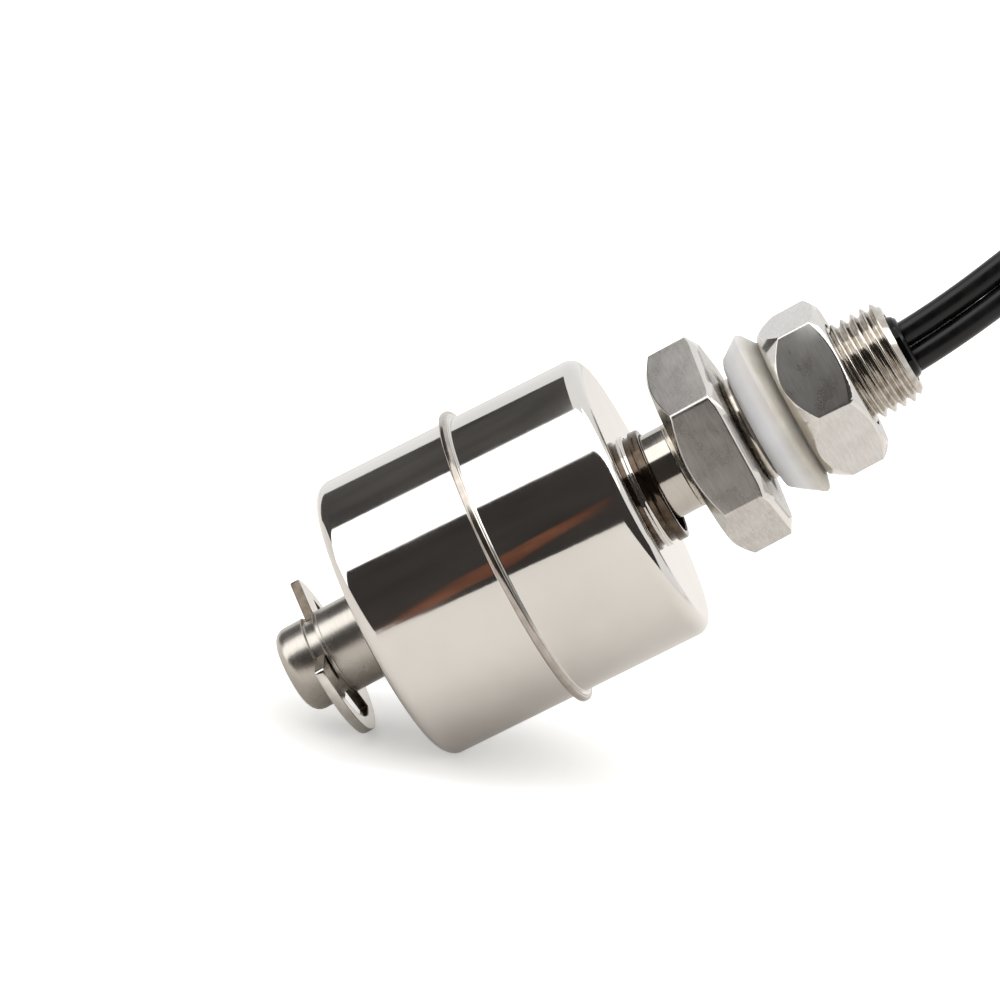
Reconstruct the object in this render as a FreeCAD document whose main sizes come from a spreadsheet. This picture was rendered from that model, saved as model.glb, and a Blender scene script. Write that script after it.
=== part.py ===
import FreeCAD, Part
import math
import os

import Sketcher
from FreeCAD import Rotation, Vector

# Vertical float level switch with a hexagonal M10 mounting head.
#
# Frame: millimetres, +Z along the stem towards the leads. The origin is the centre of the
# flange's sealing face, the face that meets the tank wall. The stem and its float hang
# below it, and the threaded nipple, gasket, nut and leads are above it.

doc = FreeCAD.newDocument("FloatLevelSwitch")

# ---------------------------------------------------------------------------------------
# Driving dimensions: alias, value, what it is
# ---------------------------------------------------------------------------------------
DIMENSIONS = [
    # mounting bolt
    ("flange_flats", 18.0, "flange across flats"),
    ("flange_height", 5.6, "flange thickness"),
    ("flange_turn", 5.35, "angle of the flange's first corner, degrees"),
    ("flange_low_face", 8.75, "radius of the flat under the flange inside its chamfer"),
    ("flange_low_slope", 0.68, "rise of the lower chamfer per mm of radius"),
    ("flange_top_face", 9.0, "radius of the sealing face inside its chamfer"),
    ("flange_top_slope", 0.55, "fall of the upper chamfer per mm of radius"),
    ("flange_bevel", 0.55, "bevel along the six edges of the sealing face"),
    ("shank_radius", 5.1, "plain shank between the flange and the thread"),
    ("shank_height", 1.0, "length of the plain shank"),
    ("thread_radius", 4.925, "crest radius of the M10x1 thread"),
    ("root_level", 11.2, "height of the thread's root just above the nut"),
    ("root_depth", 0.55, "depth of the thread"),
    ("root_half", 0.4, "half width of the thread's root between two crests"),
    ("nipple_top", 16.2, "end of the threaded nipple above the sealing face"),
    ("lead_in", 0.75, "chamfer on the first thread"),
    ("nipple_bore", 3.2, "radius of the bore that the leads leave by"),
    ("socket_top", -1.6, "end of the socket that takes the stem tube"),
    # stem
    ("stem_radius", 4.2, "outer radius of the stem tube"),
    ("stem_wall", 0.5, "wall of the stem tube"),
    ("plug_top", -43.0, "joint between the stem tube and its end plug"),
    ("stem_end", -47.7, "lower end of the stem"),
    ("stem_end_round", 1.2, "rounding of the stem's lower edge"),
    ("spigot_length", 2.2, "length of the plug's spigot inside the tube"),
    ("groove_radius", 3.7, "floor radius of the clip groove"),
    ("groove_width", 1.15, "width of the clip groove"),
    ("weld_radius", 0.95, "leg of the weld fillet under the flange"),
    ("weld_toe", 0.02, "thickness of the weld fillet at its toes"),
    # retaining clip
    ("clip_middle", -43.98, "middle plane of the clip"),
    ("clip_thick", 0.95, "thickness of the clip's strip"),
    ("clip_radius", 8.0, "outer radius of the clip"),
    ("clip_inside", 6.6, "inner radius of the clip's bow"),
    ("clip_prong", 2.6, "width of a prong"),
    ("clip_spread", 115.0, "angle from the middle prong to an end prong, degrees"),
    ("clip_turn", 40.0, "angle of the middle prong, degrees"),
    ("clip_corner", 0.45, "rounding of the two free corners"),
    ("prong_overlap", 0.5, "overlap of a prong's blank with the bow"),
    ("prong_excess", 0.7, "length of a prong's blank inside the groove's floor"),
    ("prong_trim", 0.2, "width of a prong's blank beyond its side, cut off again at the opening"),
    # gasket and nut
    ("gasket_bore", 5.15, "bore radius of the gasket"),
    ("gasket_low", 1.15, "underside of the gasket"),
    ("gasket_top", 4.95, "top of the gasket"),
    ("gasket_foot", 6.3, "radius of the flat under the gasket"),
    ("gasket_radius", 8.3, "largest radius of the gasket"),
    ("gasket_widest", 3.7, "height of the gasket's largest radius"),
    ("gasket_flare", 0.6, "width of the gasket's lower shoulder"),
    ("gasket_shoulder", 0.55, "height of the gasket's lower shoulder"),
    ("gasket_edge", 0.15, "fall back of the gasket's edge above its largest radius"),
    ("gasket_edge_height", 0.35, "height of the gasket's edge"),
    ("gasket_press", 0.25, "depth that the nut presses into the gasket's top"),
    ("gasket_round", 0.3, "rounding of the gasket's moulded corners"),
    ("nut_flats", 14.7, "nut across flats"),
    ("nut_low", 5.0, "underside of the nut"),
    ("nut_height", 6.1, "height of the nut"),
    ("nut_turn", 44.5, "angle of the nut's first corner, degrees"),
    ("nut_low_face", 7.1, "radius of the nut's lower face inside its chamfer"),
    ("nut_low_slope", 1.5, "rise of the nut's lower chamfer per mm of radius"),
    ("nut_top_face", 7.0, "radius of the nut's upper face inside its chamfer"),
    ("nut_top_slope", 0.7, "fall of the nut's upper chamfer per mm of radius"),
    ("nut_bore", 4.975, "bore radius of the nut"),
    ("nut_mouth", 0.3, "countersink at each end of the nut's bore"),
    # float
    ("float_radius", 14.0, "outer radius of the float"),
    ("float_top", -10.7, "upper face of the float"),
    ("float_low", -38.0, "lower face of the float"),
    ("seam_level", -24.1, "plane where the two shells meet"),
    ("shell_wall", 0.3, "wall of the float's shells"),
    ("shell_round", 1.4, "rounding of the float's rims"),
    ("seam_flange", 14.45, "radius of the shells' joining flanges"),
    ("seam_flange_thick", 0.4, "thickness of one joining flange"),
    ("seam_bead", 14.85, "outer radius of the seam weld"),
    ("neck_radius", 5.5, "outer radius of the drawn necks"),
    ("neck_height", 0.35, "height of the drawn necks"),
    ("guide_bore", 4.85, "bore radius of the float's guide tube"),
    ("guide_radius", 5.2, "outer radius of the float's guide tube"),
    ("guide_rise", 1.8, "guide tube above the float's upper face"),
    ("guide_drop", 0.75, "guide tube below the float's lower face"),
    ("lip_height", 0.95, "height of the guide tube's upper lip"),
    ("lip_low_height", 0.35, "height of the guide tube's lower lip"),
    ("float_lean", 1.75, "lean of the loose float towards +X, degrees"),
    ("float_aside", 0.1, "distance of the float's middle from the stem's axis"),
    # magnet inside the float
    ("magnet_bore", 5.25, "bore radius of the ring magnet and its collars"),
    ("magnet_radius", 8.6, "outer radius of the ring magnet"),
    ("magnet_middle", -24.35, "middle of the ring magnet"),
    ("magnet_height", 7.0, "height of the ring magnet"),
    ("collar_radius", 7.2, "outer radius of a magnet collar"),
    ("collar_height", 1.4, "height of a magnet collar"),
    # reed switch inside the stem
    ("pair_offset", 1.24, "distance of each conductor from the axis"),
    ("sleeve_bore", 3.2, "bore radius of the insulating sleeve"),
    ("sleeve_top", -3.0, "upper end of the insulating sleeve"),
    ("glass_radius", 1.1, "outer radius of the reed's glass"),
    ("glass_cavity", 0.85, "inner radius of the reed's glass"),
    ("glass_middle", -27.0, "middle of the reed's glass"),
    ("glass_length", 14.0, "length of the reed's glass"),
    ("seal_length", 1.1, "length of a glass-to-metal seal"),
    ("glass_end", 0.35, "fall of the glass's rounded ends in radius"),
    ("glass_end_length", 0.6, "length of the glass's rounded ends"),
    ("cavity_end", 0.5, "length of the tapered ends of the glass's cavity"),
    ("shank_wire", 0.3, "radius of a blade's round shank"),
    ("shank_reach", 3.4, "length of a shank outside the glass"),
    ("blade_thick", 0.2, "thickness of a blade"),
    ("blade_width", 1.1, "width of a blade"),
    ("blade_overlap", 1.0, "overlap of the two blades"),
    ("blade_root", 0.3, "length of a blade's flat on its round shank"),
    ("blade_gap", 0.06, "gap between the open blades"),
    ("solder_radius", 0.75, "radius of a solder joint"),
    ("wire_radius", 0.45, "radius of the wires inside the stem"),
    # potting and leads
    ("resin_low", 7.5, "lower end of the potting resin"),
    ("resin_top", 16.95, "top of the potting resin at the leads"),
    ("resin_edge", 16.05, "height of the resin at the nipple's bore"),
    ("meniscus_width", 0.6, "width of the resin's rounded edge"),
    ("meniscus_foot", 0.2, "width of the steep outer part of that edge"),
    ("meniscus_fall", 0.35, "fall of the shallow inner part of that edge"),
    ("lead_radius", 1.22, "radius of a lead"),
    ("lead_start", 9.0, "lower end of a lead's insulation inside the resin"),
    ("lead_aside", 0.55, "distance of the pair of leads from the axis where they leave the nipple"),
    ("hank_middle_y", 28.2, "distance of the hank behind the stem"),
    ("hank_middle_z", -17.0, "height of the hank's tie"),
    ("hank_half", 17.5, "from the tie to the centre of a fold"),
    ("hank_end_radius", 11.0, "outer radius of the hank's folds"),
    ("hank_waist", 3.75, "half depth of the hank at its tie"),
    ("tie_wall", 0.8, "thickness of the tie"),
    ("tie_height", 3.6, "width of the tie's strap"),
    ("tie_slack", 0.15, "gap between the strap and the waist at its middle"),
    ("tie_head_width", 4.4, "width of the tie's head"),
    ("tie_head_depth", 2.6, "depth of the tie's head"),
    ("tie_head_rim", 0.4, "how far the head stands out over the strap at each side"),
    ("bare_radius", 0.55, "radius of a stripped conductor"),
    ("bare_length", 6.5, "length of a stripped conductor"),
    ("bare_top", 4.7, "start of a stripped conductor below the centre of the lower fold"),
]

sheet = doc.addObject("Spreadsheet::Sheet", "Dims")
for row, (alias, value, meaning) in enumerate(DIMENSIONS, 1):
    sheet.set("A%d" % row, meaning)
    sheet.set("B%d" % row, str(value))
    sheet.setAlias("B%d" % row, alias)
doc.recompute()


def dim(alias):
    """A driving dimension as a number, for geometry that no expression can drive."""
    return float(sheet.get(alias))


# ---------------------------------------------------------------------------------------
# Building blocks
# ---------------------------------------------------------------------------------------
NODES = []


def node(obj, name):
    """Marks a document object as a piece of the switch and labels it."""
    obj.Label = name
    NODES.append(obj)
    return obj


def bound(obj, **expressions):
    """Binds properties to expressions of the sheet; a dot is written as a double underscore."""
    for name, expression in expressions.items():
        obj.setExpression(name.replace("__", "."), expression)
    return obj


def new_body(name):
    body = doc.addObject("PartDesign::Body", name)
    body.Label = name
    return body


def new_sketch(body, name, role="XZ_Plane"):
    sketch = body.newObject("Sketcher::SketchObject", name)
    plane = next(f for f in body.Origin.OriginFeatures if f.Role == role)
    sketch.AttachmentSupport = [(plane, "")]
    sketch.MapMode = "FlatFace"
    return sketch


def pin_point(sketch, geometry, which, across, along):
    """Fixes a point of the sketch at two expressions; "0" puts it on the axis itself."""
    for kind, expression, axis in (("DistanceX", across, -2), ("DistanceY", along, -1)):
        if expression == "0":
            sketch.addConstraint(Sketcher.Constraint("PointOnObject", geometry, which, axis))
            continue
        index = sketch.addConstraint(Sketcher.Constraint(kind, -1, 1, geometry, which, 1.0))
        sketch.setExpression("Constraints[%d]" % index, expression)


def closed_outline(sketch, corners):
    """A closed polygon whose corners are pairs of expressions."""
    count = len(corners)
    turn = 2 * math.pi / count
    rough = [Vector(5 + math.cos(turn * i), -5 + math.sin(turn * i), 0) for i in range(count)]
    for i in range(count):
        sketch.addGeometry(Part.LineSegment(rough[i], rough[(i + 1) % count]), False)
    for i in range(count):
        sketch.addConstraint(Sketcher.Constraint("Coincident", i, 2, (i + 1) % count, 1))
    for i, (across, along) in enumerate(corners):
        pin_point(sketch, i, 1, across, along)


def bound_circle(sketch, across, along, radius):
    """A circle whose centre and radius are expressions."""
    circle = Part.Circle(Vector(3, -3, 0), Vector(0, 0, 1), 1.0)
    geometry = sketch.addGeometry(circle, False)
    pin_point(sketch, geometry, 3, across, along)
    index = sketch.addConstraint(Sketcher.Constraint("Radius", geometry, 1.0))
    sketch.setExpression("Constraints[%d]" % index, radius)


def turned(body, name, corners, kind="Revolution"):
    """A full turn of a closed profile about the body's Z axis: a Revolution or a Groove."""
    sketch = new_sketch(body, name + "_profile")
    closed_outline(sketch, corners)
    feature = body.newObject("PartDesign::" + kind, name)
    feature.Profile = sketch
    feature.ReferenceAxis = (sketch, ["V_Axis"])
    feature.Angle = 360
    return feature


def turned_piece(name, corners):
    body = new_body(name)
    turned(body, name + "_turning", corners)
    return node(body, name)


def circular_edges(shape, radius, level):
    """Names of the shape's full circles about Z with this radius at this height."""
    found = []
    for number, edge in enumerate(shape.Edges, 1):
        curve = edge.Curve
        if not isinstance(curve, Part.Circle) or abs(curve.Radius - radius) > 1e-4:
            continue
        if abs(curve.Center.z - level) < 1e-4 and math.hypot(curve.Center.x, curve.Center.y) < 1e-4:
            found.append("Edge%d" % number)
    return found


def round_edges(body, name, edges, radius):
    """Fillets the body's tip along named edges, with an expression for the radius."""
    if not edges:
        raise RuntimeError("%s finds no edge to round" % name)
    rounded = body.Tip
    fillet = body.newObject("PartDesign::Fillet", name)
    fillet.Base = (rounded, edges)
    fillet.setExpression("Radius", radius)
    doc.recompute()
    return fillet


def hexagon_corners(flats, turn):
    """The six corners of a hexagon across these flats, from the corner at this angle."""
    corner = "Dims.%s / sqrt(3)" % flats
    angles = ["Dims.%s + %d" % (turn, 60 * i) for i in range(6)]
    return [("%s * cos(%s)" % (corner, angle), "%s * sin(%s)" % (corner, angle)) for angle in angles]


def hexagon_pad(body, name, flats, turn, height, level):
    """A hexagonal prism that starts at a height given by an expression."""
    sketch = new_sketch(body, name + "_sketch", "XY_Plane")
    sketch.setExpression("AttachmentOffset.Base.z", level)
    closed_outline(sketch, hexagon_corners(flats, turn))
    pad = body.newObject("PartDesign::Pad", name)
    pad.Profile = sketch
    pad.setExpression("Length", height)
    return pad


def corner_chamfer(body, end, flats, level, side):
    """Turns a cone over a hexagon's corners, as on any turned hexagon. end names the
    dimensions of the cone's flat face and slope. side is +1 over a lower face, where the
    cone rises outwards, and -1 under an upper face."""
    sign = "+" if side > 0 else "-"
    face, slope = "Dims.%s_face" % end, "Dims.%s_slope" % end
    outside = "Dims.%s / sqrt(3) + 1" % flats
    clear = "%s %s -1" % (level, sign)
    rim = "%s %s (%s - %s) * %s" % (level, sign, outside, face, slope)
    corners = [(face, level), (outside, rim), (outside, clear), (face, clear)]
    return turned(body, end + "_chamfer", corners, kind="Groove")


# ---------------------------------------------------------------------------------------
# Mounting bolt: hexagonal flange, shank and threaded nipple in one turned piece
# ---------------------------------------------------------------------------------------
bolt = new_body("mounting_bolt")
FLANGE_LOW = "-Dims.flange_height"
hexagon_pad(bolt, "flange_hexagon", "flange_flats", "flange_turn", "Dims.flange_height", FLANGE_LOW)
doc.recompute()
hexagon = bolt.Tip
sealing_edges = []
for number, edge in enumerate(hexagon.Shape.Edges, 1):
    if edge.BoundBox.ZMin > -1e-4:
        sealing_edges.append("Edge%d" % number)
bevel = bolt.newObject("PartDesign::Chamfer", "flange_bevel")
bevel.Base = (hexagon, sealing_edges)
bevel.setExpression("Size", "Dims.flange_bevel")
corner_chamfer(bolt, "flange_low", "flange_flats", FLANGE_LOW, 1)
corner_chamfer(bolt, "flange_top", "flange_flats", "0", -1)
turned(
    bolt,
    "shank_and_nipple",
    [
        ("0", "-Dims.flange_height / 2"),
        ("Dims.shank_radius", "-Dims.flange_height / 2"),
        ("Dims.shank_radius", "Dims.shank_height"),
        ("Dims.thread_radius", "Dims.shank_height"),
        ("Dims.thread_radius", "Dims.root_level - Dims.root_half"),
        ("Dims.thread_radius - Dims.root_depth", "Dims.root_level"),
        ("Dims.thread_radius", "Dims.root_level + Dims.root_half"),
        ("Dims.thread_radius", "Dims.nipple_top - Dims.lead_in"),
        ("Dims.thread_radius - Dims.lead_in", "Dims.nipple_top"),
        ("0", "Dims.nipple_top"),
    ],
)
turned(
    bolt,
    "stem_socket_and_bore",
    [
        ("0", "-Dims.flange_height - 1"),
        ("Dims.stem_radius", "-Dims.flange_height - 1"),
        ("Dims.stem_radius", "Dims.socket_top"),
        ("Dims.nipple_bore", "Dims.socket_top"),
        ("Dims.nipple_bore", "Dims.nipple_top + 1"),
        ("0", "Dims.nipple_top + 1"),
    ],
    kind="Groove",
)
node(bolt, "mounting_bolt")

# ---------------------------------------------------------------------------------------
# Stem: drawn tube, turned end plug with the clip's groove, and the weld under the flange
# ---------------------------------------------------------------------------------------
turned_piece(
    "stem_tube",
    [
        ("Dims.stem_radius", "Dims.socket_top"),
        ("Dims.stem_radius", "Dims.plug_top"),
        ("Dims.stem_radius - Dims.stem_wall", "Dims.plug_top"),
        ("Dims.stem_radius - Dims.stem_wall", "Dims.socket_top"),
    ],
)

stem_plug = turned_piece(
    "stem_plug",
    [
        ("0", "Dims.stem_end"),
        ("Dims.stem_radius", "Dims.stem_end"),
        ("Dims.stem_radius", "Dims.clip_middle - Dims.groove_width / 2"),
        ("Dims.groove_radius", "Dims.clip_middle - Dims.groove_width / 2"),
        ("Dims.groove_radius", "Dims.clip_middle + Dims.groove_width / 2"),
        ("Dims.stem_radius", "Dims.clip_middle + Dims.groove_width / 2"),
        ("Dims.stem_radius", "Dims.plug_top"),
        ("Dims.stem_radius - Dims.stem_wall", "Dims.plug_top"),
        ("Dims.stem_radius - Dims.stem_wall", "Dims.plug_top + Dims.spigot_length"),
        ("0", "Dims.plug_top + Dims.spigot_length"),
    ],
)
doc.recompute()
plug_edges = circular_edges(stem_plug.Shape, dim("stem_radius"), dim("stem_end"))
round_edges(stem_plug, "stem_end_rounding", plug_edges, "Dims.stem_end_round")

weld = turned_piece(
    "stem_weld",
    [
        ("Dims.stem_radius", "-Dims.flange_height"),
        ("Dims.stem_radius + Dims.weld_radius", "-Dims.flange_height"),
        ("Dims.stem_radius + Dims.weld_radius", "-Dims.flange_height - Dims.weld_radius"),
        ("Dims.stem_radius", "-Dims.flange_height - Dims.weld_radius"),
    ],
)
throat_sketch = new_sketch(weld, "weld_throat_profile")
bound_circle(
    throat_sketch,
    "Dims.stem_radius + Dims.weld_radius",
    "-Dims.flange_height - Dims.weld_radius",
    "Dims.weld_radius - Dims.weld_toe",
)
throat = weld.newObject("PartDesign::Groove", "weld_throat")
throat.Profile = throat_sketch
throat.ReferenceAxis = (throat_sketch, ["V_Axis"])
throat.Angle = 360

# ---------------------------------------------------------------------------------------
# Retaining clip: an E-shaped spring ring with a bow and three prongs
# ---------------------------------------------------------------------------------------
clip = new_body("retaining_clip")
clip.setExpression("Placement.Base.z", "Dims.clip_middle - Dims.clip_thick / 2")
bow_sketch = new_sketch(clip, "bow_sketch", "XY_Plane")
bound_circle(bow_sketch, "0", "0", "Dims.clip_radius")
bound_circle(bow_sketch, "0", "0", "Dims.clip_inside")
bow = clip.newObject("PartDesign::Pad", "bow")
bow.Profile = bow_sketch
bow.setExpression("Length", "Dims.clip_thick")

# The first prong is drawn at one end of the bow, and the pattern turns it to the other two.
FIRST_PRONG = "(Dims.clip_turn - Dims.clip_spread)"
LAST_PRONG = "(Dims.clip_turn + Dims.clip_spread)"


def beside_prong(angle, along, aside):
    """A point at a distance along a prong's middle line and a distance to its side."""
    return (
        "(%s) * cos(%s) - (%s) * sin(%s)" % (along, angle, aside, angle),
        "(%s) * sin(%s) + (%s) * cos(%s)" % (along, angle, aside, angle),
    )


PRONG_INNER = "Dims.groove_radius - Dims.prong_excess"
PRONG_OUTER = "Dims.clip_inside + Dims.prong_overlap"
PRONG_SIDE = "(Dims.clip_prong / 2 + Dims.prong_trim)"
prong_sketch = new_sketch(clip, "prong_sketch", "XY_Plane")
closed_outline(
    prong_sketch,
    [
        beside_prong(FIRST_PRONG, PRONG_INNER, "-" + PRONG_SIDE),
        beside_prong(FIRST_PRONG, PRONG_OUTER, "-" + PRONG_SIDE),
        beside_prong(FIRST_PRONG, PRONG_OUTER, PRONG_SIDE),
        beside_prong(FIRST_PRONG, PRONG_INNER, PRONG_SIDE),
    ],
)
prong = clip.newObject("PartDesign::Pad", "prong")
prong.Profile = prong_sketch
prong.setExpression("Length", "Dims.clip_thick")
prongs = clip.newObject("PartDesign::PolarPattern", "prongs")
prongs.Originals = [prong]
prongs.Axis = (bow_sketch, ["N_Axis"])
prongs.setExpression("Angle", "2 * Dims.clip_spread")
prongs.Occurrences = 3
clip.Tip = prongs

# The ring is open between the end prongs, and both of its ends are cut square to the bow.
HALF_PRONG = "Dims.clip_prong / 2"
BEYOND = "2 * Dims.clip_radius"
OPENING_ROOT = "Dims.clip_prong / 2 / sin(180 - Dims.clip_spread)"
OPENING_ANGLE = "(Dims.clip_turn + 180)"
opening_sketch = new_sketch(clip, "opening_sketch", "XY_Plane")
closed_outline(
    opening_sketch,
    [
        beside_prong(OPENING_ANGLE, OPENING_ROOT, "0"),
        beside_prong(LAST_PRONG, BEYOND, HALF_PRONG),
        beside_prong(OPENING_ANGLE, BEYOND, "0"),
        beside_prong(FIRST_PRONG, BEYOND, "-" + HALF_PRONG),
    ],
)
opening = clip.newObject("PartDesign::Pocket", "opening")
opening.Profile = opening_sketch
opening.Type = "ThroughAll"
opening.Midplane = True

# The prongs' ends are hollowed to sit round the floor of the groove.
seat_sketch = new_sketch(clip, "seat_sketch", "XY_Plane")
bound_circle(seat_sketch, "0", "0", "Dims.groove_radius")
seat = clip.newObject("PartDesign::Pocket", "seat")
seat.Profile = seat_sketch
seat.Type = "ThroughAll"
seat.Midplane = True
doc.recompute()


def free_corners(shape):
    """The upright edges at the outer corners of the clip's two ends."""
    found = []
    for number, edge in enumerate(shape.Edges, 1):
        middle = edge.CenterOfMass
        upright = isinstance(edge.Curve, Part.Line) and abs(edge.tangentAt(edge.FirstParameter).z) > 0.99
        if upright and abs(math.hypot(middle.x, middle.y) - dim("clip_radius")) < 1e-3:
            found.append("Edge%d" % number)
    return found


round_edges(clip, "clip_corners", free_corners(clip.Shape), "Dims.clip_corner")
node(clip, "retaining_clip")

# ---------------------------------------------------------------------------------------
# Gasket and nut on the threaded nipple
# ---------------------------------------------------------------------------------------
gasket = turned_piece(
    "sealing_gasket",
    [
        ("Dims.gasket_bore", "Dims.gasket_low"),
        ("Dims.gasket_foot", "Dims.gasket_low"),
        ("Dims.gasket_foot + Dims.gasket_flare", "Dims.gasket_low + Dims.gasket_shoulder"),
        ("Dims.gasket_radius", "Dims.gasket_widest"),
        ("Dims.gasket_radius - Dims.gasket_edge", "Dims.gasket_widest + Dims.gasket_edge_height"),
        ("Dims.nut_low_face", "Dims.gasket_top - Dims.gasket_press"),
        ("Dims.nut_low_face - Dims.gasket_press", "Dims.gasket_top"),
        ("Dims.gasket_bore", "Dims.gasket_top"),
    ],
)
doc.recompute()
gasket_edges = circular_edges(gasket.Shape, dim("gasket_foot"), dim("gasket_low"))
gasket_edges += circular_edges(
    gasket.Shape, dim("gasket_foot") + dim("gasket_flare"), dim("gasket_low") + dim("gasket_shoulder")
)
round_edges(gasket, "gasket_moulding_round", gasket_edges, "Dims.gasket_round")

nut = new_body("mounting_nut")
hexagon_pad(nut, "nut_hexagon", "nut_flats", "nut_turn", "Dims.nut_height", "Dims.nut_low")
NUT_TOP = "(Dims.nut_low + Dims.nut_height)"
corner_chamfer(nut, "nut_low", "nut_flats", "Dims.nut_low", 1)
corner_chamfer(nut, "nut_top", "nut_flats", NUT_TOP, -1)
turned(
    nut,
    "nut_threaded_bore",
    [
        ("0", "Dims.nut_low - 0.1"),
        ("Dims.nut_bore + Dims.nut_mouth + 0.1", "Dims.nut_low - 0.1"),
        ("Dims.nut_bore", "Dims.nut_low + Dims.nut_mouth"),
        ("Dims.nut_bore", "%s - Dims.nut_mouth" % NUT_TOP),
        ("Dims.nut_bore + Dims.nut_mouth + 0.1", "%s + 0.1" % NUT_TOP),
        ("0", "%s + 0.1" % NUT_TOP),
    ],
    kind="Groove",
)
node(nut, "mounting_nut")

# ---------------------------------------------------------------------------------------
# Float: two deep-drawn shells welded at mid height on a lipped guide tube
# ---------------------------------------------------------------------------------------


def float_shell(name, face, side):
    """One half of the float. face is the alias of its end face, and side is "+" for the
    half above the seam and "-" for the half below it."""
    other = "-" if side == "+" else "+"
    end = "Dims." + face
    neck = "%s %s Dims.neck_height" % (end, side)
    inside = "%s %s Dims.shell_wall" % (end, other)
    flange = "Dims.seam_level %s Dims.seam_flange_thick" % side
    body = turned_piece(
        name,
        [
            ("Dims.guide_radius", neck),
            ("Dims.neck_radius", neck),
            ("Dims.neck_radius", end),
            ("Dims.float_radius", end),
            ("Dims.float_radius", flange),
            ("Dims.seam_flange", flange),
            ("Dims.seam_flange", "Dims.seam_level"),
            ("Dims.float_radius - Dims.shell_wall", "Dims.seam_level"),
            ("Dims.float_radius - Dims.shell_wall", inside),
            ("Dims.guide_radius", inside),
        ],
    )
    doc.recompute()
    rim = circular_edges(body.Shape, dim("float_radius"), dim(face))
    round_edges(body, name + "_rim", rim, "Dims.shell_round")
    wall = dim("shell_wall")
    inner_level = dim(face) - wall if side == "+" else dim(face) + wall
    inner = circular_edges(body.Shape, dim("float_radius") - wall, inner_level)
    round_edges(body, name + "_inner_rim", inner, "Dims.shell_round - Dims.shell_wall")


float_shell("float_upper_shell", "float_top", "+")
float_shell("float_lower_shell", "float_low", "-")

seam = turned_piece(
    "float_seam_weld",
    [
        ("Dims.seam_flange", "Dims.seam_level - Dims.seam_flange_thick"),
        ("Dims.seam_bead", "Dims.seam_level - Dims.seam_flange_thick"),
        ("Dims.seam_bead", "Dims.seam_level + Dims.seam_flange_thick"),
        ("Dims.seam_flange", "Dims.seam_level + Dims.seam_flange_thick"),
    ],
)
doc.recompute()
seam_edges = []
for seam_side in (-1, 1):
    seam_edge_level = dim("seam_level") + seam_side * dim("seam_flange_thick")
    seam_edges += circular_edges(seam.Shape, dim("seam_bead"), seam_edge_level)
round_edges(seam, "seam_bead_round", seam_edges, "Dims.seam_flange_thick - 0.05")

turned_piece(
    "float_guide_tube",
    [
        ("Dims.guide_bore", "Dims.float_low - Dims.guide_drop"),
        ("Dims.neck_radius", "Dims.float_low - Dims.guide_drop"),
        ("Dims.neck_radius", "Dims.float_low - Dims.guide_drop + Dims.lip_low_height"),
        ("Dims.guide_radius", "Dims.float_low - Dims.guide_drop + Dims.lip_low_height"),
        ("Dims.guide_radius", "Dims.float_top + Dims.guide_rise - Dims.lip_height"),
        ("Dims.neck_radius", "Dims.float_top + Dims.guide_rise - Dims.lip_height"),
        ("Dims.neck_radius", "Dims.float_top + Dims.guide_rise"),
        ("Dims.guide_bore", "Dims.float_top + Dims.guide_rise"),
    ],
)


def sleeve_piece(name, bore, radius, low, top):
    """A plain ring between two heights."""
    return turned_piece(name, [(bore, low), (radius, low), (radius, top), (bore, top)])


MAGNET_LOW = "Dims.magnet_middle - Dims.magnet_height / 2"
MAGNET_TOP = "Dims.magnet_middle + Dims.magnet_height / 2"
sleeve_piece("ring_magnet", "Dims.magnet_bore", "Dims.magnet_radius", MAGNET_LOW, MAGNET_TOP)
sleeve_piece(
    "magnet_collar_upper",
    "Dims.magnet_bore",
    "Dims.collar_radius",
    MAGNET_TOP,
    MAGNET_TOP + " + Dims.collar_height",
)
sleeve_piece(
    "magnet_collar_lower",
    "Dims.magnet_bore",
    "Dims.collar_radius",
    MAGNET_LOW + " - Dims.collar_height",
    MAGNET_LOW,
)

# The float hangs loose on the stem and leans over as far as its guide tube's clearance lets it.
FLOAT_PIECES = [
    "float_upper_shell",
    "float_lower_shell",
    "float_seam_weld",
    "float_guide_tube",
    "ring_magnet",
    "magnet_collar_upper",
    "magnet_collar_lower",
]
for piece in NODES:
    if piece.Label not in FLOAT_PIECES:
        continue
    piece.Placement = FreeCAD.Placement(Vector(), Rotation(Vector(0, 1, 0), 1.0))
    bound(piece, Placement__Rotation__Angle="Dims.float_lean")
    bound(piece, Placement__Base__x="Dims.float_aside - Dims.seam_level * sin(Dims.float_lean)")
    bound(piece, Placement__Base__z="Dims.seam_level * (1 - cos(Dims.float_lean))")

# ---------------------------------------------------------------------------------------
# Reed switch inside the stem
# ---------------------------------------------------------------------------------------
sleeve_piece(
    "insulating_sleeve",
    "Dims.sleeve_bore",
    "Dims.stem_radius - Dims.stem_wall",
    "Dims.plug_top + Dims.spigot_length",
    "Dims.sleeve_top",
)

GLASS_LOW = "Dims.glass_middle - Dims.glass_length / 2"
GLASS_TOP = "Dims.glass_middle + Dims.glass_length / 2"
glass = turned_piece(
    "reed_glass",
    [
        ("Dims.shank_wire", GLASS_LOW),
        ("Dims.glass_radius - Dims.glass_end", GLASS_LOW),
        ("Dims.glass_radius", GLASS_LOW + " + Dims.glass_end_length"),
        ("Dims.glass_radius", GLASS_TOP + " - Dims.glass_end_length"),
        ("Dims.glass_radius - Dims.glass_end", GLASS_TOP),
        ("Dims.shank_wire", GLASS_TOP),
        ("Dims.shank_wire", GLASS_TOP + " - Dims.seal_length"),
        ("Dims.glass_cavity", GLASS_TOP + " - Dims.seal_length - Dims.cavity_end"),
        ("Dims.glass_cavity", GLASS_LOW + " + Dims.seal_length + Dims.cavity_end"),
        ("Dims.shank_wire", GLASS_LOW + " + Dims.seal_length"),
    ],
)
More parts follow.
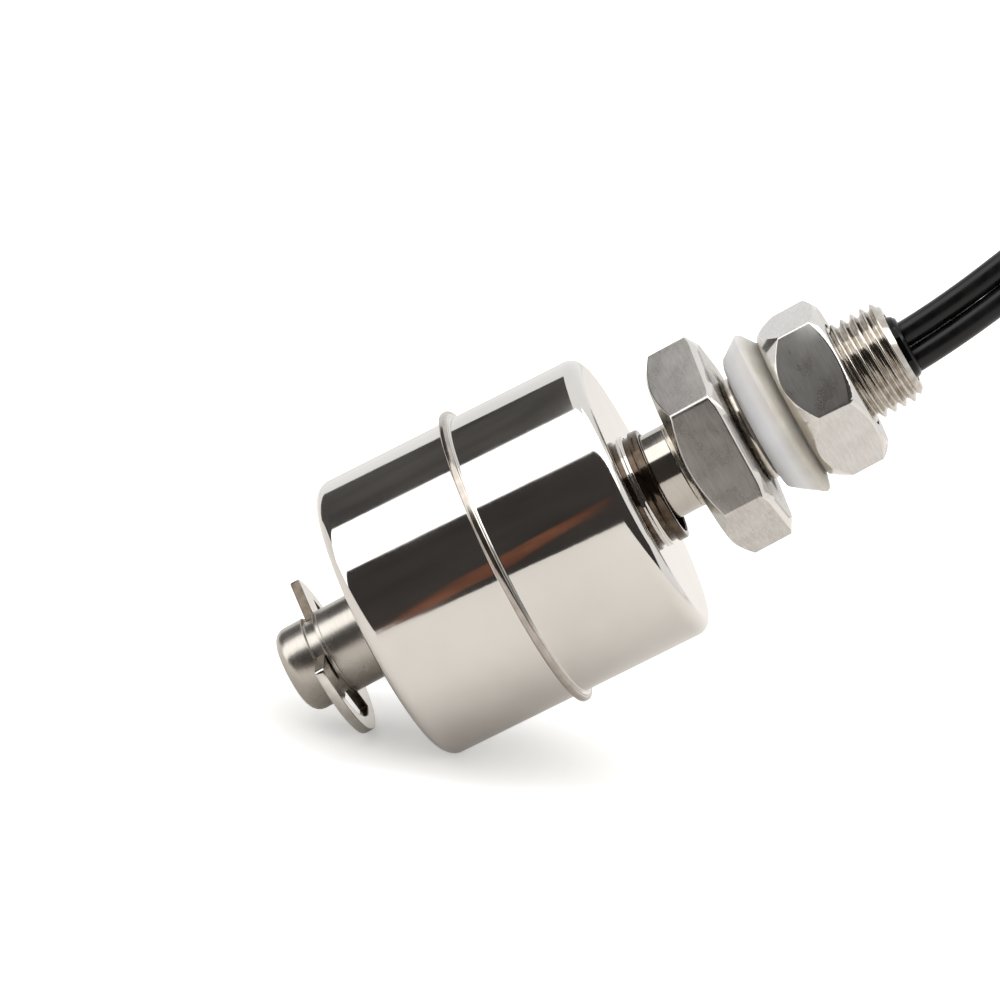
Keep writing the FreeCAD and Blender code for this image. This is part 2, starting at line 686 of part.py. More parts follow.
glass.setExpression("Placement.Base.x", "-Dims.pair_offset")


def reed_blade(name, side):
    """A round shank that passes through its seal and goes on as a flat spring blade.
    side is 1 for the blade that comes down from above and -1 for the one below."""
    shank = doc.addObject("Part::Cylinder", name + "_shank")
    flat = doc.addObject("Part::Box", name + "_flat")
    inside = "Dims.seal_length + Dims.cavity_end"
    shank_length = "Dims.shank_reach + %s + Dims.blade_root" % inside
    flat_length = "Dims.glass_length / 2 - (%s) + Dims.blade_overlap / 2" % inside
    bound(shank, Radius="Dims.shank_wire", Height=shank_length, Placement__Base__x="-Dims.pair_offset")
    bound(flat, Length="Dims.blade_thick", Width="Dims.blade_width", Height=flat_length)
    flat.setExpression("Placement.Base.y", "-Dims.blade_width / 2")
    if side > 0:
        shank.setExpression("Placement.Base.z", "%s - (%s) - Dims.blade_root" % (GLASS_TOP, inside))
        flat.setExpression("Placement.Base.z", "Dims.glass_middle - Dims.blade_overlap / 2")
        flat.setExpression("Placement.Base.x", "-Dims.pair_offset + Dims.blade_gap / 2")
    else:
        shank.setExpression("Placement.Base.z", GLASS_LOW + " - Dims.shank_reach")
        flat.setExpression("Placement.Base.z", "%s + %s" % (GLASS_LOW, inside))
        flat.setExpression("Placement.Base.x", "-Dims.pair_offset - Dims.blade_gap / 2 - Dims.blade_thick")
    blade = doc.addObject("Part::Fuse", name)
    blade.Base = shank
    blade.Tool = flat
    return node(blade, name)


reed_blade("reed_blade_upper", 1)
reed_blade("reed_blade_lower", -1)


def wire_run(name, offset, low, top):
    """A straight run of wire parallel to the stem."""
    run = doc.addObject("Part::Cylinder", name)
    bound(run, Radius="Dims.wire_radius", Height="(%s) - (%s)" % (top, low))
    bound(run, Placement__Base__x=offset, Placement__Base__z=low)
    return run


JOINT_TOP = "(" + GLASS_TOP + " + Dims.shank_reach)"
JOINT_LOW = "(" + GLASS_LOW + " - Dims.shank_reach)"
feed_wire = wire_run("feed_wire", "-Dims.pair_offset", JOINT_TOP, "Dims.lead_start")
node(feed_wire, "feed_wire")

# The return wire runs down past the reed and turns up to meet the lower blade's shank.
return_run = wire_run("return_run", "Dims.pair_offset", JOINT_LOW, "Dims.lead_start")
return_bend = doc.addObject("Part::Torus", "return_bend")
bound(return_bend, Radius1="Dims.pair_offset", Radius2="Dims.wire_radius", Placement__Base__z=JOINT_LOW)
return_bend.Angle3 = 180
return_bend.Placement.Rotation = Rotation(Vector(1, 0, 0), -90)
return_wire = doc.addObject("Part::Fuse", "return_wire")
return_wire.Base = return_run
return_wire.Tool = return_bend
node(return_wire, "return_wire")


def solder_joint(name, level, parts):
    """A bead of solder round the ends that it joins."""
    bead = doc.addObject("Part::Sphere", name + "_bead")
    bound(bead, Radius="Dims.solder_radius")
    bound(bead, Placement__Base__x="-Dims.pair_offset", Placement__Base__z=level)
    inside = doc.addObject("Part::MultiFuse", name + "_inside")
    inside.Shapes = parts
    joint = doc.addObject("Part::Cut", name)
    joint.Base = bead
    joint.Tool = inside
    return node(joint, name)


blade_objects = {obj.Label: obj for obj in NODES}
solder_joint("solder_joint_upper", JOINT_TOP, [blade_objects["reed_blade_upper"], feed_wire])
solder_joint("solder_joint_lower", JOINT_LOW, [blade_objects["reed_blade_lower"], return_wire])

# ---------------------------------------------------------------------------------------
# Leads: two equal leads side by side, out of the resin, over in an arch and down behind
# the stem into a tied hank
# ---------------------------------------------------------------------------------------
# The route of the middle between the two leads, from inside the resin to inside the hank.
HANK_FRONT = dim("hank_middle_y") - dim("hank_end_radius") + dim("lead_radius")
LEAD_ROUTE = [
    Vector(dim("lead_aside"), 0.0, dim("lead_start")),
    Vector(dim("lead_aside"), 0.0, 18.5),
    Vector(-2.1, 0.2, 34.0),
    Vector(-2.4, 9.4, 39.9),
    Vector(-1.95, HANK_FRONT + 0.2, 34.0),
    Vector(0.45, HANK_FRONT + 0.5, 17.5),
    Vector(0.0, HANK_FRONT, 1.5),
]
ARC_SHARE = 0.45


def rounded_route(points):
    """Straight runs joined by tangent arcs as large as the runs allow, with their radii."""
    edges, radii, start = [], [], points[0]
    for before, corner, after in zip(points, points[1:], points[2:]):
        back, ahead = before - corner, after - corner
        turn = math.pi - back.getAngle(ahead)
        trim = ARC_SHARE * min(back.Length, ahead.Length)
        enter = corner + back.normalize() * trim
        leave = corner + ahead.normalize() * trim
        radius = trim / math.tan(turn / 2)
        inward = (back + ahead).normalize()
        middle = corner + inward * (radius / math.cos(turn / 2) - radius)
        edges.append(Part.LineSegment(start, enter).toShape())
        edges.append(Part.Arc(enter, middle, leave).toShape())
        radii.append(radius)
        start = leave
    edges.append(Part.LineSegment(start, points[-1]).toShape())
    return Part.Wire(edges), radii


def lead_tube(name, side):
    """The free stretch of one lead as a plain round tube."""
    shift = Vector(side * dim("pair_offset"), 0, 0)
    path, radii = rounded_route([point + shift for point in LEAD_ROUTE])
    section = Part.Wire(Part.Circle(path.Vertexes[0].Point, Vector(0, 0, 1), dim("lead_radius")).toShape())
    solid = path.makePipeShell([section], True, True)
    tube = doc.addObject("Part::Feature", name)
    tube.Shape = solid
    expected = math.pi * dim("lead_radius") ** 2 * path.Length
    print(name, "length %.1f mm" % path.Length, "radii", ["%.1f" % r for r in radii])
    if abs(solid.Volume - expected) > 0.01 * expected:
        raise RuntimeError("%s has the volume %.2f instead of %.2f" % (name, solid.Volume, expected))
    return node(tube, name)


LEADS = [lead_tube("lead_a", -1), lead_tube("lead_b", 1)]

# ---------------------------------------------------------------------------------------
# Potting resin in the nipple, drawn up in a low meniscus and cast round the two leads
# ---------------------------------------------------------------------------------------
resin_plug = new_body("resin_plug")
turned(
    resin_plug,
    "resin_turning",
    [
        ("0", "Dims.resin_low"),
        ("Dims.nipple_bore", "Dims.resin_low"),
        ("Dims.nipple_bore", "Dims.resin_edge"),
        ("Dims.nipple_bore - Dims.meniscus_foot", "Dims.resin_top - Dims.meniscus_fall"),
        ("Dims.nipple_bore - Dims.meniscus_width", "Dims.resin_top"),
        ("0", "Dims.resin_top"),
    ],
)
resin_tools = list(LEADS)
for hole_name, hole_side in (("hole_a", "-"), ("hole_b", "")):
    hole = doc.addObject("Part::Cylinder", hole_name)
    bound(hole, Radius="Dims.wire_radius", Height="Dims.lead_start - Dims.resin_low + 1")
    bound(hole, Placement__Base__x=hole_side + "Dims.pair_offset", Placement__Base__z="Dims.resin_low - 1")
    resin_tools.append(hole)
cast_round = doc.addObject("Part::MultiFuse", "resin_holes")
cast_round.Shapes = resin_tools
resin = doc.addObject("Part::Cut", "potting_resin")
resin.Base = resin_plug
resin.Tool = cast_round
node(resin, "potting_resin")


def hank_outline(left):
    """The hank's outer shape in its own plane, as a face at this X: two round folds and a
    waist where the tie draws the runs together, all tangent arcs."""
    middle_y, middle_z, half = dim("hank_middle_y"), dim("hank_middle_z"), dim("hank_half")
    fold, waist = dim("hank_end_radius"), dim("hank_waist")
    hollow = (waist**2 + half**2 - fold**2) / (2 * (fold - waist))
    share = fold / (fold + hollow)

    def at(y, z):
        return Vector(left, middle_y + y, middle_z + z)

    def touch(side, end):
        return at(side * share * (waist + hollow), end * half * (1 - share))

    arcs = [
        Part.Arc(touch(1, 1), at(0, half + fold), touch(-1, 1)),
        Part.Arc(touch(-1, 1), at(-waist, 0), touch(-1, -1)),
        Part.Arc(touch(-1, -1), at(0, -half - fold), touch(1, -1)),
        Part.Arc(touch(1, -1), at(waist, 0), touch(1, 1)),
    ]
    return Part.Face(Part.Wire([arc.toShape() for arc in arcs]))


def hank_prism(name, left, right):
    prism = doc.addObject("Part::Feature", name)
    prism.Shape = hank_outline(left).extrude(Vector(right - left, 0, 0))
    return prism


offset, lead_r = dim("pair_offset"), dim("lead_radius")
node(hank_prism("lead_a_coil", -offset - lead_r, -offset + lead_r), "lead_a_coil")
node(hank_prism("lead_b_coil", offset - lead_r, offset + lead_r), "lead_b_coil")

# The tie's strap lies round both leads' waists, and its head is at the back.
strap = doc.addObject("Part::Box", "tie_strap")
bound(
    strap,
    Length="2 * (Dims.pair_offset + Dims.lead_radius + Dims.tie_wall)",
    Width="2 * (Dims.hank_waist + Dims.tie_wall + Dims.tie_slack)",
    Height="Dims.tie_height",
    Placement__Base__x="-Dims.pair_offset - Dims.lead_radius - Dims.tie_wall",
    Placement__Base__y="Dims.hank_middle_y - Dims.hank_waist - Dims.tie_wall - Dims.tie_slack",
    Placement__Base__z="Dims.hank_middle_z - Dims.tie_height / 2",
)
doc.recompute()
STRAP_ROUND = 1.0
upright = [
    (number, STRAP_ROUND, STRAP_ROUND)
    for number, edge in enumerate(strap.Shape.Edges, 1)
    if abs(edge.tangentAt(edge.FirstParameter).z) > 0.99
]
rounded_strap = doc.addObject("Part::Fillet", "tie_rounded_strap")
rounded_strap.Base = strap
rounded_strap.Edges = upright
tie_head = doc.addObject("Part::Box", "tie_head")
bound(
    tie_head,
    Length="Dims.tie_head_width",
    Width="Dims.tie_head_depth",
    Height="Dims.tie_height + 2 * Dims.tie_head_rim",
    Placement__Base__x="-Dims.tie_head_width / 2",
    Placement__Base__y="Dims.hank_middle_y + Dims.hank_waist + Dims.tie_wall / 2",
    Placement__Base__z="Dims.hank_middle_z - Dims.tie_height / 2 - Dims.tie_head_rim",
)
tie_solid = doc.addObject("Part::MultiFuse", "tie_solid")
tie_solid.Shapes = [rounded_strap, tie_head]
tie = doc.addObject("Part::Cut", "coil_tie")
tie.Base = tie_solid
tie.Tool = hank_prism("hank_core", -offset - lead_r, offset + lead_r)
node(tie, "coil_tie")

# The stripped and tinned ends hang from the back of the hank's lower fold.
for end_name, end_side in (("conductor_end_a", "-"), ("conductor_end_b", "")):
    end = doc.addObject("Part::Cylinder", end_name)
    bound(
        end,
        Radius="Dims.bare_radius",
        Height="Dims.bare_length",
        Placement__Base__x=end_side + "Dims.pair_offset",
        Placement__Base__y="Dims.hank_middle_y + Dims.hank_end_radius - Dims.lead_radius",
        Placement__Base__z="Dims.hank_middle_z - Dims.hank_half - Dims.bare_top - Dims.bare_length",
    )
    node(end, end_name)

# ---------------------------------------------------------------------------------------
# Checks and export
# ---------------------------------------------------------------------------------------
doc.recompute()

for obj in doc.Objects:
    if "Invalid" in obj.State or "Error" in obj.State:
        raise RuntimeError("%s failed: %s" % (obj.Label, obj.State))
for obj in NODES:
    shape = obj.Shape
    if shape.isNull() or not shape.isValid():
        raise RuntimeError("%s has no valid shape" % obj.Label)
    if len(shape.Solids) != 1:
        raise RuntimeError("%s has %d solids" % (obj.Label, len(shape.Solids)))

os.makedirs("parts", exist_ok=True)
for obj in NODES:
    obj.Shape.exportStep("parts/%s.step" % obj.Label)
    box = obj.Shape.BoundBox
    print("%-20s %9.2f mm3   z %7.2f to %7.2f" % (obj.Label, obj.Shape.Volume, box.ZMin, box.ZMax))
print(len(NODES), "pieces")
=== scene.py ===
"""Vertical float level switch: a polished float on a stem, a hexagonal threaded head and two leads."""

import math

import bmesh
import bpy
from mathutils import Matrix, Vector


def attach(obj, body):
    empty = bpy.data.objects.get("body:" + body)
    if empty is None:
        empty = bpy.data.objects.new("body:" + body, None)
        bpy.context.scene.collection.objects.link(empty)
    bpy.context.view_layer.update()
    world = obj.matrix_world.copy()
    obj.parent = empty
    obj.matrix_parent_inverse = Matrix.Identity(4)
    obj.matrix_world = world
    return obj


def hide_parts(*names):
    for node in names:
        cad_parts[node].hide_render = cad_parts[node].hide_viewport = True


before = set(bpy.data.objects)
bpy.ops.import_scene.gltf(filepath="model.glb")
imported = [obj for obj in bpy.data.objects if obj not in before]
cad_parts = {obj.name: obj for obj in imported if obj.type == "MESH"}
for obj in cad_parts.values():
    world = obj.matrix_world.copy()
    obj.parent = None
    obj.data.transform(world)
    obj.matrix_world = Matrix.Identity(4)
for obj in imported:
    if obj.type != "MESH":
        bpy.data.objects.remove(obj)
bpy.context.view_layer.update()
scene = bpy.context.scene

MM = 0.001

# Sizes in millimetres. The origin is the centre of the flange's sealing face and +Z runs
# along the stem towards the leads.
FLANGE = {"flats": 18.0, "turn": 5.35, "low": -5.6, "top": 0.0, "corner": 0.5, "corner_half": 1.6}
FLANGE_LOW_CONE = (8.75, 0.68)
FLANGE_TOP_CONE = (9.0, 0.55)
FLANGE_BEVEL = 0.55
NUT = {"flats": 14.7, "turn": 44.5, "low": 5.0, "top": 11.1, "corner": 0.3, "corner_half": 1.2}
NUT_LOW_CONE = (7.1, 1.5)
NUT_TOP_CONE = (7.0, 0.7)
NUT_BORE = 4.975
NUT_MOUTH = 0.3

SHANK_RADIUS = 5.1
SHANK_TOP = 1.0
NIPPLE_TOP = 16.2
NIPPLE_BORE = 3.2
THREAD_CREST = 4.925
THREAD_DEPTH = 0.6
THREAD_PITCH = 1.0
THREAD_LEAD_IN = 0.75
NIPPLE_SUNK = 0.2
# The mouth of the nipple's bore, as steps outwards from the bore and down from the end.
NIPPLE_MOUTH = [(0.0, 0.25), (0.12, 0.07), (0.3, 0.0)]

STEM_RADIUS = 4.2
STEM_WALL = 0.5
SOCKET_TOP = -1.6
PLUG_TOP = -43.0
STEM_END = -47.7
STEM_END_ROUND = 1.2
SPIGOT_TOP = -40.8
GROOVE_RADIUS = 3.7
CLIP_MIDDLE = -43.98
GROOVE_WIDTH = 1.15
CLIP_RADIUS = 8.0
CLIP_RIM = 0.2
CLIP_EDGE = 0.1
WELD_LEG = 0.95
WELD_SUNK = 0.1

GASKET_BORE = 5.15
GASKET_LOW = 1.15
GASKET_TOP = 4.95
GASKET_FOOT = 6.3
GASKET_HEAD = 6.55
# The gasket's outline between its foot and its head, as radius, height and rounding.
GASKET_SIDE = [(6.9, 1.7, 0.3), (8.3, 3.7, 0.12), (8.15, 4.05, 0.2), (6.8, 4.7, 0.2)]

FLOAT_RADIUS = 14.0
FLOAT_TOP = -10.7
FLOAT_LOW = -38.0
FLOAT_SEAM = -24.1
FLOAT_WALL = 0.3
FLOAT_ROUND = 1.4
SEAM_FLANGE = 14.45
SEAM_FLANGE_THICK = 0.4
SEAM_BEAD = 14.85
SEAM_BEAD_FOOT = 0.2
SEAM_BEAD_HALF = 0.3
SEAM_BEAD_ROUND = 0.36
NECK_RADIUS = 5.5
NECK_HEIGHT = 0.35
GUIDE_BORE = 4.85
GUIDE_RADIUS = 5.2
GUIDE_TOP = -8.9
GUIDE_LOW = -38.75
LIP_HEIGHT = 0.95
LIP_LOW_HEIGHT = 0.35
FLOAT_LEAN = math.radians(1.75)
FLOAT_ASIDE = 0.1

RESIN_LOW = 7.5
RESIN_TOP = 16.95
RESIN_EDGE = 16.05

PAIR_OFFSET = 1.24
LEAD_RADIUS = 1.22
LEAD_START = 9.0
LEAD_ASIDE = 0.55
HANK_Y = 28.2
HANK_Z = -17.0
HANK_HALF = 17.5
HANK_LEG = 9.78
HANK_WAIST = 2.53
HANK_FOLD = 8.56
HANK_SHIFT = 1.22
BARE_TOP = -39.2


# ---------------------------------------------------------------------------------------
# Camera and studio
# ---------------------------------------------------------------------------------------
CAMERA_PLACE = Vector((0.0, -408.72, 32.84)) * MM
CAMERA_YAW = math.radians(-0.72)
CAMERA_PITCH = math.radians(-7.772)
CAMERA_ROLL = math.radians(61.672)
CAMERA_LENS = 160.98

ahead = Vector(
    (
        math.sin(CAMERA_YAW) * math.cos(CAMERA_PITCH),
        math.cos(CAMERA_YAW) * math.cos(CAMERA_PITCH),
        math.sin(CAMERA_PITCH),
    )
)
level_right = ahead.cross(Vector((0, 0, 1))).normalized()
level_up = level_right.cross(ahead)
view_right = level_right * math.cos(CAMERA_ROLL) + level_up * math.sin(CAMERA_ROLL)
view_up = level_up * math.cos(CAMERA_ROLL) - level_right * math.sin(CAMERA_ROLL)

camera_data = bpy.data.cameras.new("studio_camera")
camera_data.lens = CAMERA_LENS
camera_data.clip_start = 0.01
camera_data.clip_end = 20.0
camera = bpy.data.objects.new("studio_camera", camera_data)
scene.collection.objects.link(camera)
turned_view = Matrix((view_right, view_up, -ahead)).transposed().to_4x4()
camera.matrix_world = Matrix.Translation(CAMERA_PLACE) @ turned_view
scene.camera = camera
scene.view_settings.view_transform = "Standard"


def linear(code):
    """An sRGB hex colour as a linear RGBA colour."""
    channels = [int(code[i : i + 2], 16) / 255 for i in (1, 3, 5)]
    bent = [c / 12.92 if c <= 0.04045 else ((c + 0.055) / 1.055) ** 2.4 for c in channels]
    return (*bent, 1.0)


def add(tree, kind, inputs=None, **settings):
    """Adds a node with its settings, and fills or links its inputs by name or number."""
    node = tree.nodes.new(kind)
    for name, value in settings.items():
        setattr(node, name, value)
    for name, value in (inputs or {}).items():
        if isinstance(value, bpy.types.NodeSocket):
            tree.links.new(value, node.inputs[name])
        else:
            node.inputs[name].default_value = value
    return node


def calc(tree, operation, *values):
    """A maths node of a node tree, and its result."""
    return add(tree, "ShaderNodeMath", dict(enumerate(values)), operation=operation).outputs[0]


def new_material(name):
    """An empty node material and its tree."""
    material = bpy.data.materials.new(name)
    material.use_nodes = True
    material.node_tree.nodes.clear()
    return material, material.node_tree


def object_space(tree, period, stretch=(1.0, 1.0, 1.0)):
    """The piece's own coordinates, so that one unit is a length in millimetres."""
    place = add(tree, "ShaderNodeTexCoord")
    scale = [1.0 / (period * MM) * s for s in stretch]
    return add(tree, "ShaderNodeMapping", {"Vector": place.outputs["Object"], "Scale": scale}).outputs[0]


def surface(tree, **values):
    """The Principled surface of a material, from input names with spaces as underscores."""
    shader = add(tree, "ShaderNodeBsdfPrincipled", {k.replace("_", " "): v for k, v in values.items()})
    add(tree, "ShaderNodeOutputMaterial", {"Surface": shader.outputs[0]})
    return shader


def colour_ramp(tree, value, *stops):
    """Colours at places along a value."""
    ramp = add(tree, "ShaderNodeValToRGB", {0: value})
    elements = ramp.color_ramp.elements
    while len(elements) < len(stops):
        elements.new(0.5)
    for element, (place, code) in zip(elements, stops):
        element.position = place
        element.color = linear(code)
    return ramp.outputs["Color"]


def noise(tree, place, detail):
    """Soft clouds over a place."""
    return add(tree, "ShaderNodeTexNoise", {"Vector": place, "Scale": 1.0, "Detail": detail}).outputs[0]


def two_tones(tree, cloud, low, high):
    """A colour that wanders between two tones with a cloud."""
    return colour_ramp(tree, cloud, (0.35, low), (0.65, high))


def link_object(name, mesh):
    """A new object of the scene, with its mesh or curve."""
    piece = bpy.data.objects.new(name, mesh)
    scene.collection.objects.link(piece)
    return piece


# ---------------------------------------------------------------------------------------
# The floor and the light
# ---------------------------------------------------------------------------------------
CAMERA_ABOVE_FLOOR = math.radians(14.0)
FLOOR_TURN = math.radians(10.0)
FLOOR_DROP = 34.25
FLOOR_HALF = 3.0
FLOOR_LIFT = 0.32

level_in_view = view_up * math.cos(FLOOR_TURN) + view_right * math.sin(FLOOR_TURN)
floor_up = (level_in_view * math.cos(CAMERA_ABOVE_FLOOR) - ahead * math.sin(CAMERA_ABOVE_FLOOR)).normalized()


def facing(place, towards, about):
    """A placement whose -Z axis looks along a direction and whose X axis lies near another."""
    back = -towards.normalized()
    across = (about - back * about.dot(back)).normalized()
    return Matrix.Translation(place) @ Matrix((across, back.cross(across), back)).transposed().to_4x4()


def floor_material():
    """White paper: matt, lifted to white for the camera and a little dulled for the metal."""
    material, tree = new_material("white_paper")
    path = add(tree, "ShaderNodeLightPath")
    metal = path.outputs["Is Glossy Ray"]
    tone = add(tree, "ShaderNodeMixRGB", {0: metal, 1: linear("#F2F2F0"), 2: linear("#E0DCD8")})
    paper = add(tree, "ShaderNodeBsdfDiffuse", {"Color": tone.outputs[0]})
    lift = calc(tree, "MULTIPLY", path.outputs["Is Camera Ray"], FLOOR_LIFT)
    glow = add(tree, "ShaderNodeEmission", {"Color": linear("#FFFFFF"), "Strength": lift})
    lit = add(tree, "ShaderNodeAddShader", {0: paper.outputs[0], 1: glow.outputs[0]})
    clear = add(tree, "ShaderNodeBsdfTransparent")
    side = add(tree, "ShaderNodeNewGeometry")
    sides = {0: side.outputs["Backfacing"], 1: lit.outputs[0], 2: clear.outputs[0]}
    one_sided = add(tree, "ShaderNodeMixShader", sides)
    add(tree, "ShaderNodeOutputMaterial", {"Surface": one_sided.outputs[0]})
    return material


floor_mesh = bpy.data.meshes.new("floor")
floor_mesh.from_pydata(
    [
        (-FLOOR_HALF, -FLOOR_HALF, 0),
        (FLOOR_HALF, -FLOOR_HALF, 0),
        (FLOOR_HALF, FLOOR_HALF, 0),
        (-FLOOR_HALF, FLOOR_HALF, 0),
    ],
    [],
    [(0, 1, 2, 3)],
)
floor_mesh.materials.append(floor_material())
floor = link_object("floor", floor_mesh)
floor.matrix_world = facing(-floor_up * FLOOR_DROP * MM, -floor_up, view_right)


ROOM_LIGHT = 1.08
ROOM_SEEN = 1.0


def white_room():
    """A white room that the camera, the metal and clear pieces see at full white."""
    world = bpy.data.worlds.new("white_room")
    world.use_nodes = True
    tree = world.node_tree
    tree.nodes.clear()
    path = add(tree, "ShaderNodeLightPath").outputs
    seen = calc(tree, "MAXIMUM", path["Is Camera Ray"], path["Is Glossy Ray"])
    seen = calc(tree, "MAXIMUM", seen, path["Is Transmission Ray"])
    strength = add(tree, "ShaderNodeMapRange", {"Value": seen, "To Min": ROOM_LIGHT, "To Max": ROOM_SEEN})
    white = {"Color": linear("#FFFFFF"), "Strength": strength.outputs["Result"]}
    back = add(tree, "ShaderNodeBackground", white)
    add(tree, "ShaderNodeOutputWorld", {"Surface": back.outputs[0]})
    scene.world = world


white_room()


def soft_lamp(name, place, target, width, height, power):
    """A rectangular lamp that looks at a target."""
    data = bpy.data.lights.new(name, "AREA")
    data.shape = "RECTANGLE"
    data.size, data.size_y = width, height
    data.energy = power
    lamp = bpy.data.objects.new(name, data)
    scene.collection.objects.link(lamp)
    lamp.matrix_world = facing(place, target - place, view_right)
    return lamp


SWITCH_MIDDLE = Vector((0.0, 0.0, -0.015))
floor_right = ahead.cross(floor_up).normalized()
LAMP_ABOVE, LAMP_ASIDE = 0.70, 0.26
LAMP_WIDTH, LAMP_HEIGHT = 0.6, 0.45
LAMP_POWER = 2.6
lamp_place = SWITCH_MIDDLE + floor_up * LAMP_ABOVE + floor_right * LAMP_ASIDE
soft_lamp("top_softbox", lamp_place, SWITCH_MIDDLE, LAMP_WIDTH, LAMP_HEIGHT, LAMP_POWER)


def around(angle, distance, along):
    """A point round the stem's axis: the angle is from the camera's side towards -X."""
    turn = math.radians(angle)
    return Vector((-math.sin(turn) * distance, -math.cos(turn) * distance, along))


ROUND_STEPS = 8


def reflected_card(name, away, stations, low, high, strength=1.0, grain=18.0):
    """A curved card that only the metal's reflections see, such as the dark side of the room.
    Each station is a height along the axis with the two angles that the card spans there,
    and the card's colour wanders between low and high."""
    points, faces = [], []
    row = ROUND_STEPS + 1
    for along, start, end in stations:
        points += [around(start + (end - start) * i / ROUND_STEPS, away, along) for i in range(row)]
    for k in range(len(stations) - 1):
        this, following = k * row, (k + 1) * row
        for i in range(ROUND_STEPS):
            faces.append((this + i, this + i + 1, following + i + 1, following + i))
    mesh = bpy.data.meshes.new(name)
    mesh.from_pydata(points, [], faces)
    material, tree = new_material(name)
    # A cylinder squeezes the card round it, so the card's clouds are long in that direction.
    cloud = noise(tree, object_space(tree, grain, (0.2, 0.2, 1.0)), 4.0)
    tone = two_tones(tree, cloud, low, high)
    glow = add(tree, "ShaderNodeEmission", {"Color": tone, "Strength": strength})
    add(tree, "ShaderNodeOutputMaterial", {"Surface": glow.outputs[0]})
    mesh.materials.append(material)
    card = link_object(name, mesh)
    card.visible_camera = False
    card.visible_diffuse = False
    card.visible_transmission = False
    card.visible_volume_scatter = False
    card.visible_shadow = False
    return card


# The cards' heights and angles are fitted, so that the bands on the float, the stem and the
# head lie where they are wanted for this camera.
CARD_AWAY = 0.35
BROWN_AWAY = CARD_AWAY * 0.98
# The dark side of the room lies behind the camera. Its lower edge rises towards the stem's end.
reflected_card(
    "dark_room",
    CARD_AWAY,
    [
        (-1.3, 8, 45),
        (-0.45, 6, 47),
        (-0.0988, -2.6, 47),
        (-0.0793, -12.3, 46),
        (-0.0653, -17.9, 45.5),
        (-0.0519, -23.6, 44.5),
        (-0.0470, -32, 44),
        (-0.0448, -80, 44),
        (0.30, -80, 44),
        (0.75, -80, 44),
    ],
    "#3B3836",
    "#474341",
)
# Something brown stands just in front of the dark side's edge.
reflected_card(
    "brown_edge",
    BROWN_AWAY,
    [
        (-0.095, -5.8, -4.1),
        (-0.087, -6.4, 0.4),
        (-0.078, -4.0, 4.2),
        (-0.073, -5.2, 4.6),
        (-0.0635, -2.0, 6.2),
        (-0.0533, 2.4, 8.0),
        (-0.0480, 6.4, 8.6),
    ],
    "#453229",
    "#8E5F4B",
    grain=12.0,
)
# A dark strip overhead, and a bright softbox between it and the dark side.
reflected_card(
    "dark_ceiling",
    CARD_AWAY,
    [(-0.30, 86.5, 134), (-0.1, 86.5, 134), (-0.038, 85, 129), (-0.032, 102, 128)],
    "#4B4949",
    "#5A5857",
)
reflected_card(
    "bright_softbox",
    CARD_AWAY,
    [(-1.3, 47, 86), (-0.1, 47.5, 86), (-0.05, 45, 84.5), (0.75, 45, 84.5)],
    "#FFFFFF",
    "#FFFFFF",
    strength=2.2,
)


# ---------------------------------------------------------------------------------------
# Shapes
# ---------------------------------------------------------------------------------------
def made_mesh(name, points, faces):
    """A smooth mesh from points in millimetres, with its doubles merged and faces outwards."""
    mesh = bpy.data.meshes.new(name)
    mesh.from_pydata([tuple(c * MM for c in p) for p in points], [], faces)
    work = bmesh.new()
    work.from_mesh(mesh)
    bmesh.ops.remove_doubles(work, verts=work.verts, dist=1e-6)
    bmesh.ops.recalc_face_normals(work, faces=work.faces)
    for face in work.faces:
        face.smooth = True
    work.to_mesh(mesh)
    work.free()
    return mesh


def even_normals(piece):
    """Large faces keep their own direction beside small rounded edges."""
    modifier = piece.modifiers.new("even_normals", "WEIGHTED_NORMAL")
    modifier.keep_sharp = True
    modifier.weight = 80
    return piece


def rounded_outline(corners, steps=5):
    """A closed outline from corners (r, z, rounding), each rounded by an arc of equal steps."""
    outline = []
    count = len(corners)
    for i, (r, z, rounding) in enumerate(corners):
        here = Vector((r, z))
        back = Vector(corners[i - 1][:2]) - here
        onward = Vector(corners[(i + 1) % count][:2]) - here
        reach = min(back.length, onward.length)
        if rounding <= 0 or reach < 1e-6:
            outline += [here] * (steps + 1)
            continue
        back.normalize()
        onward.normalize()
        half = math.acos(max(-1.0, min(1.0, back.dot(onward)))) / 2
        if half > math.radians(89):
            outline += [here] * (steps + 1)
            continue
        trim = min(rounding / math.tan(half), 0.48 * reach)
        radius = trim * math.tan(half)
        centre = here + (back + onward).normalized() * (radius / math.sin(half))
        first = (here + back * trim - centre).normalized()
        last = (here + onward * trim - centre).normalized()
        outline += [centre + first.slerp(last, k / steps) * radius for k in range(steps + 1)]
    return outline


def ring_faces(columns, rows, closed=True):
    """Faces between columns of points round the axis. closed joins each column's two ends."""
    faces = []
    for i in range(columns):
        this, following = i * rows, (i + 1) % columns * rows
        for k in range(rows if closed else rows - 1):
            up = (k + 1) % rows
            faces.append((this + k, following + k, following + up, this + up))
    return faces


def ring_points(outline, columns):
    """The points of an outline (r, z) at equal turns round the axis."""
    points = []
    for i in range(columns):
        angle = 2 * math.pi * i / columns
        points += [(r * math.cos(angle), r * math.sin(angle), z) for r, z in outline]
    return points


def turned_piece(name, corners, segments=160, steps=5):
    """A solid of revolution about the stem's axis, from a closed outline with rounded corners."""
    outline = rounded_outline(corners, steps)
    mesh = made_mesh(name, ring_points(outline, segments), ring_faces(segments, len(outline)))
    return even_normals(link_object(name, mesh))


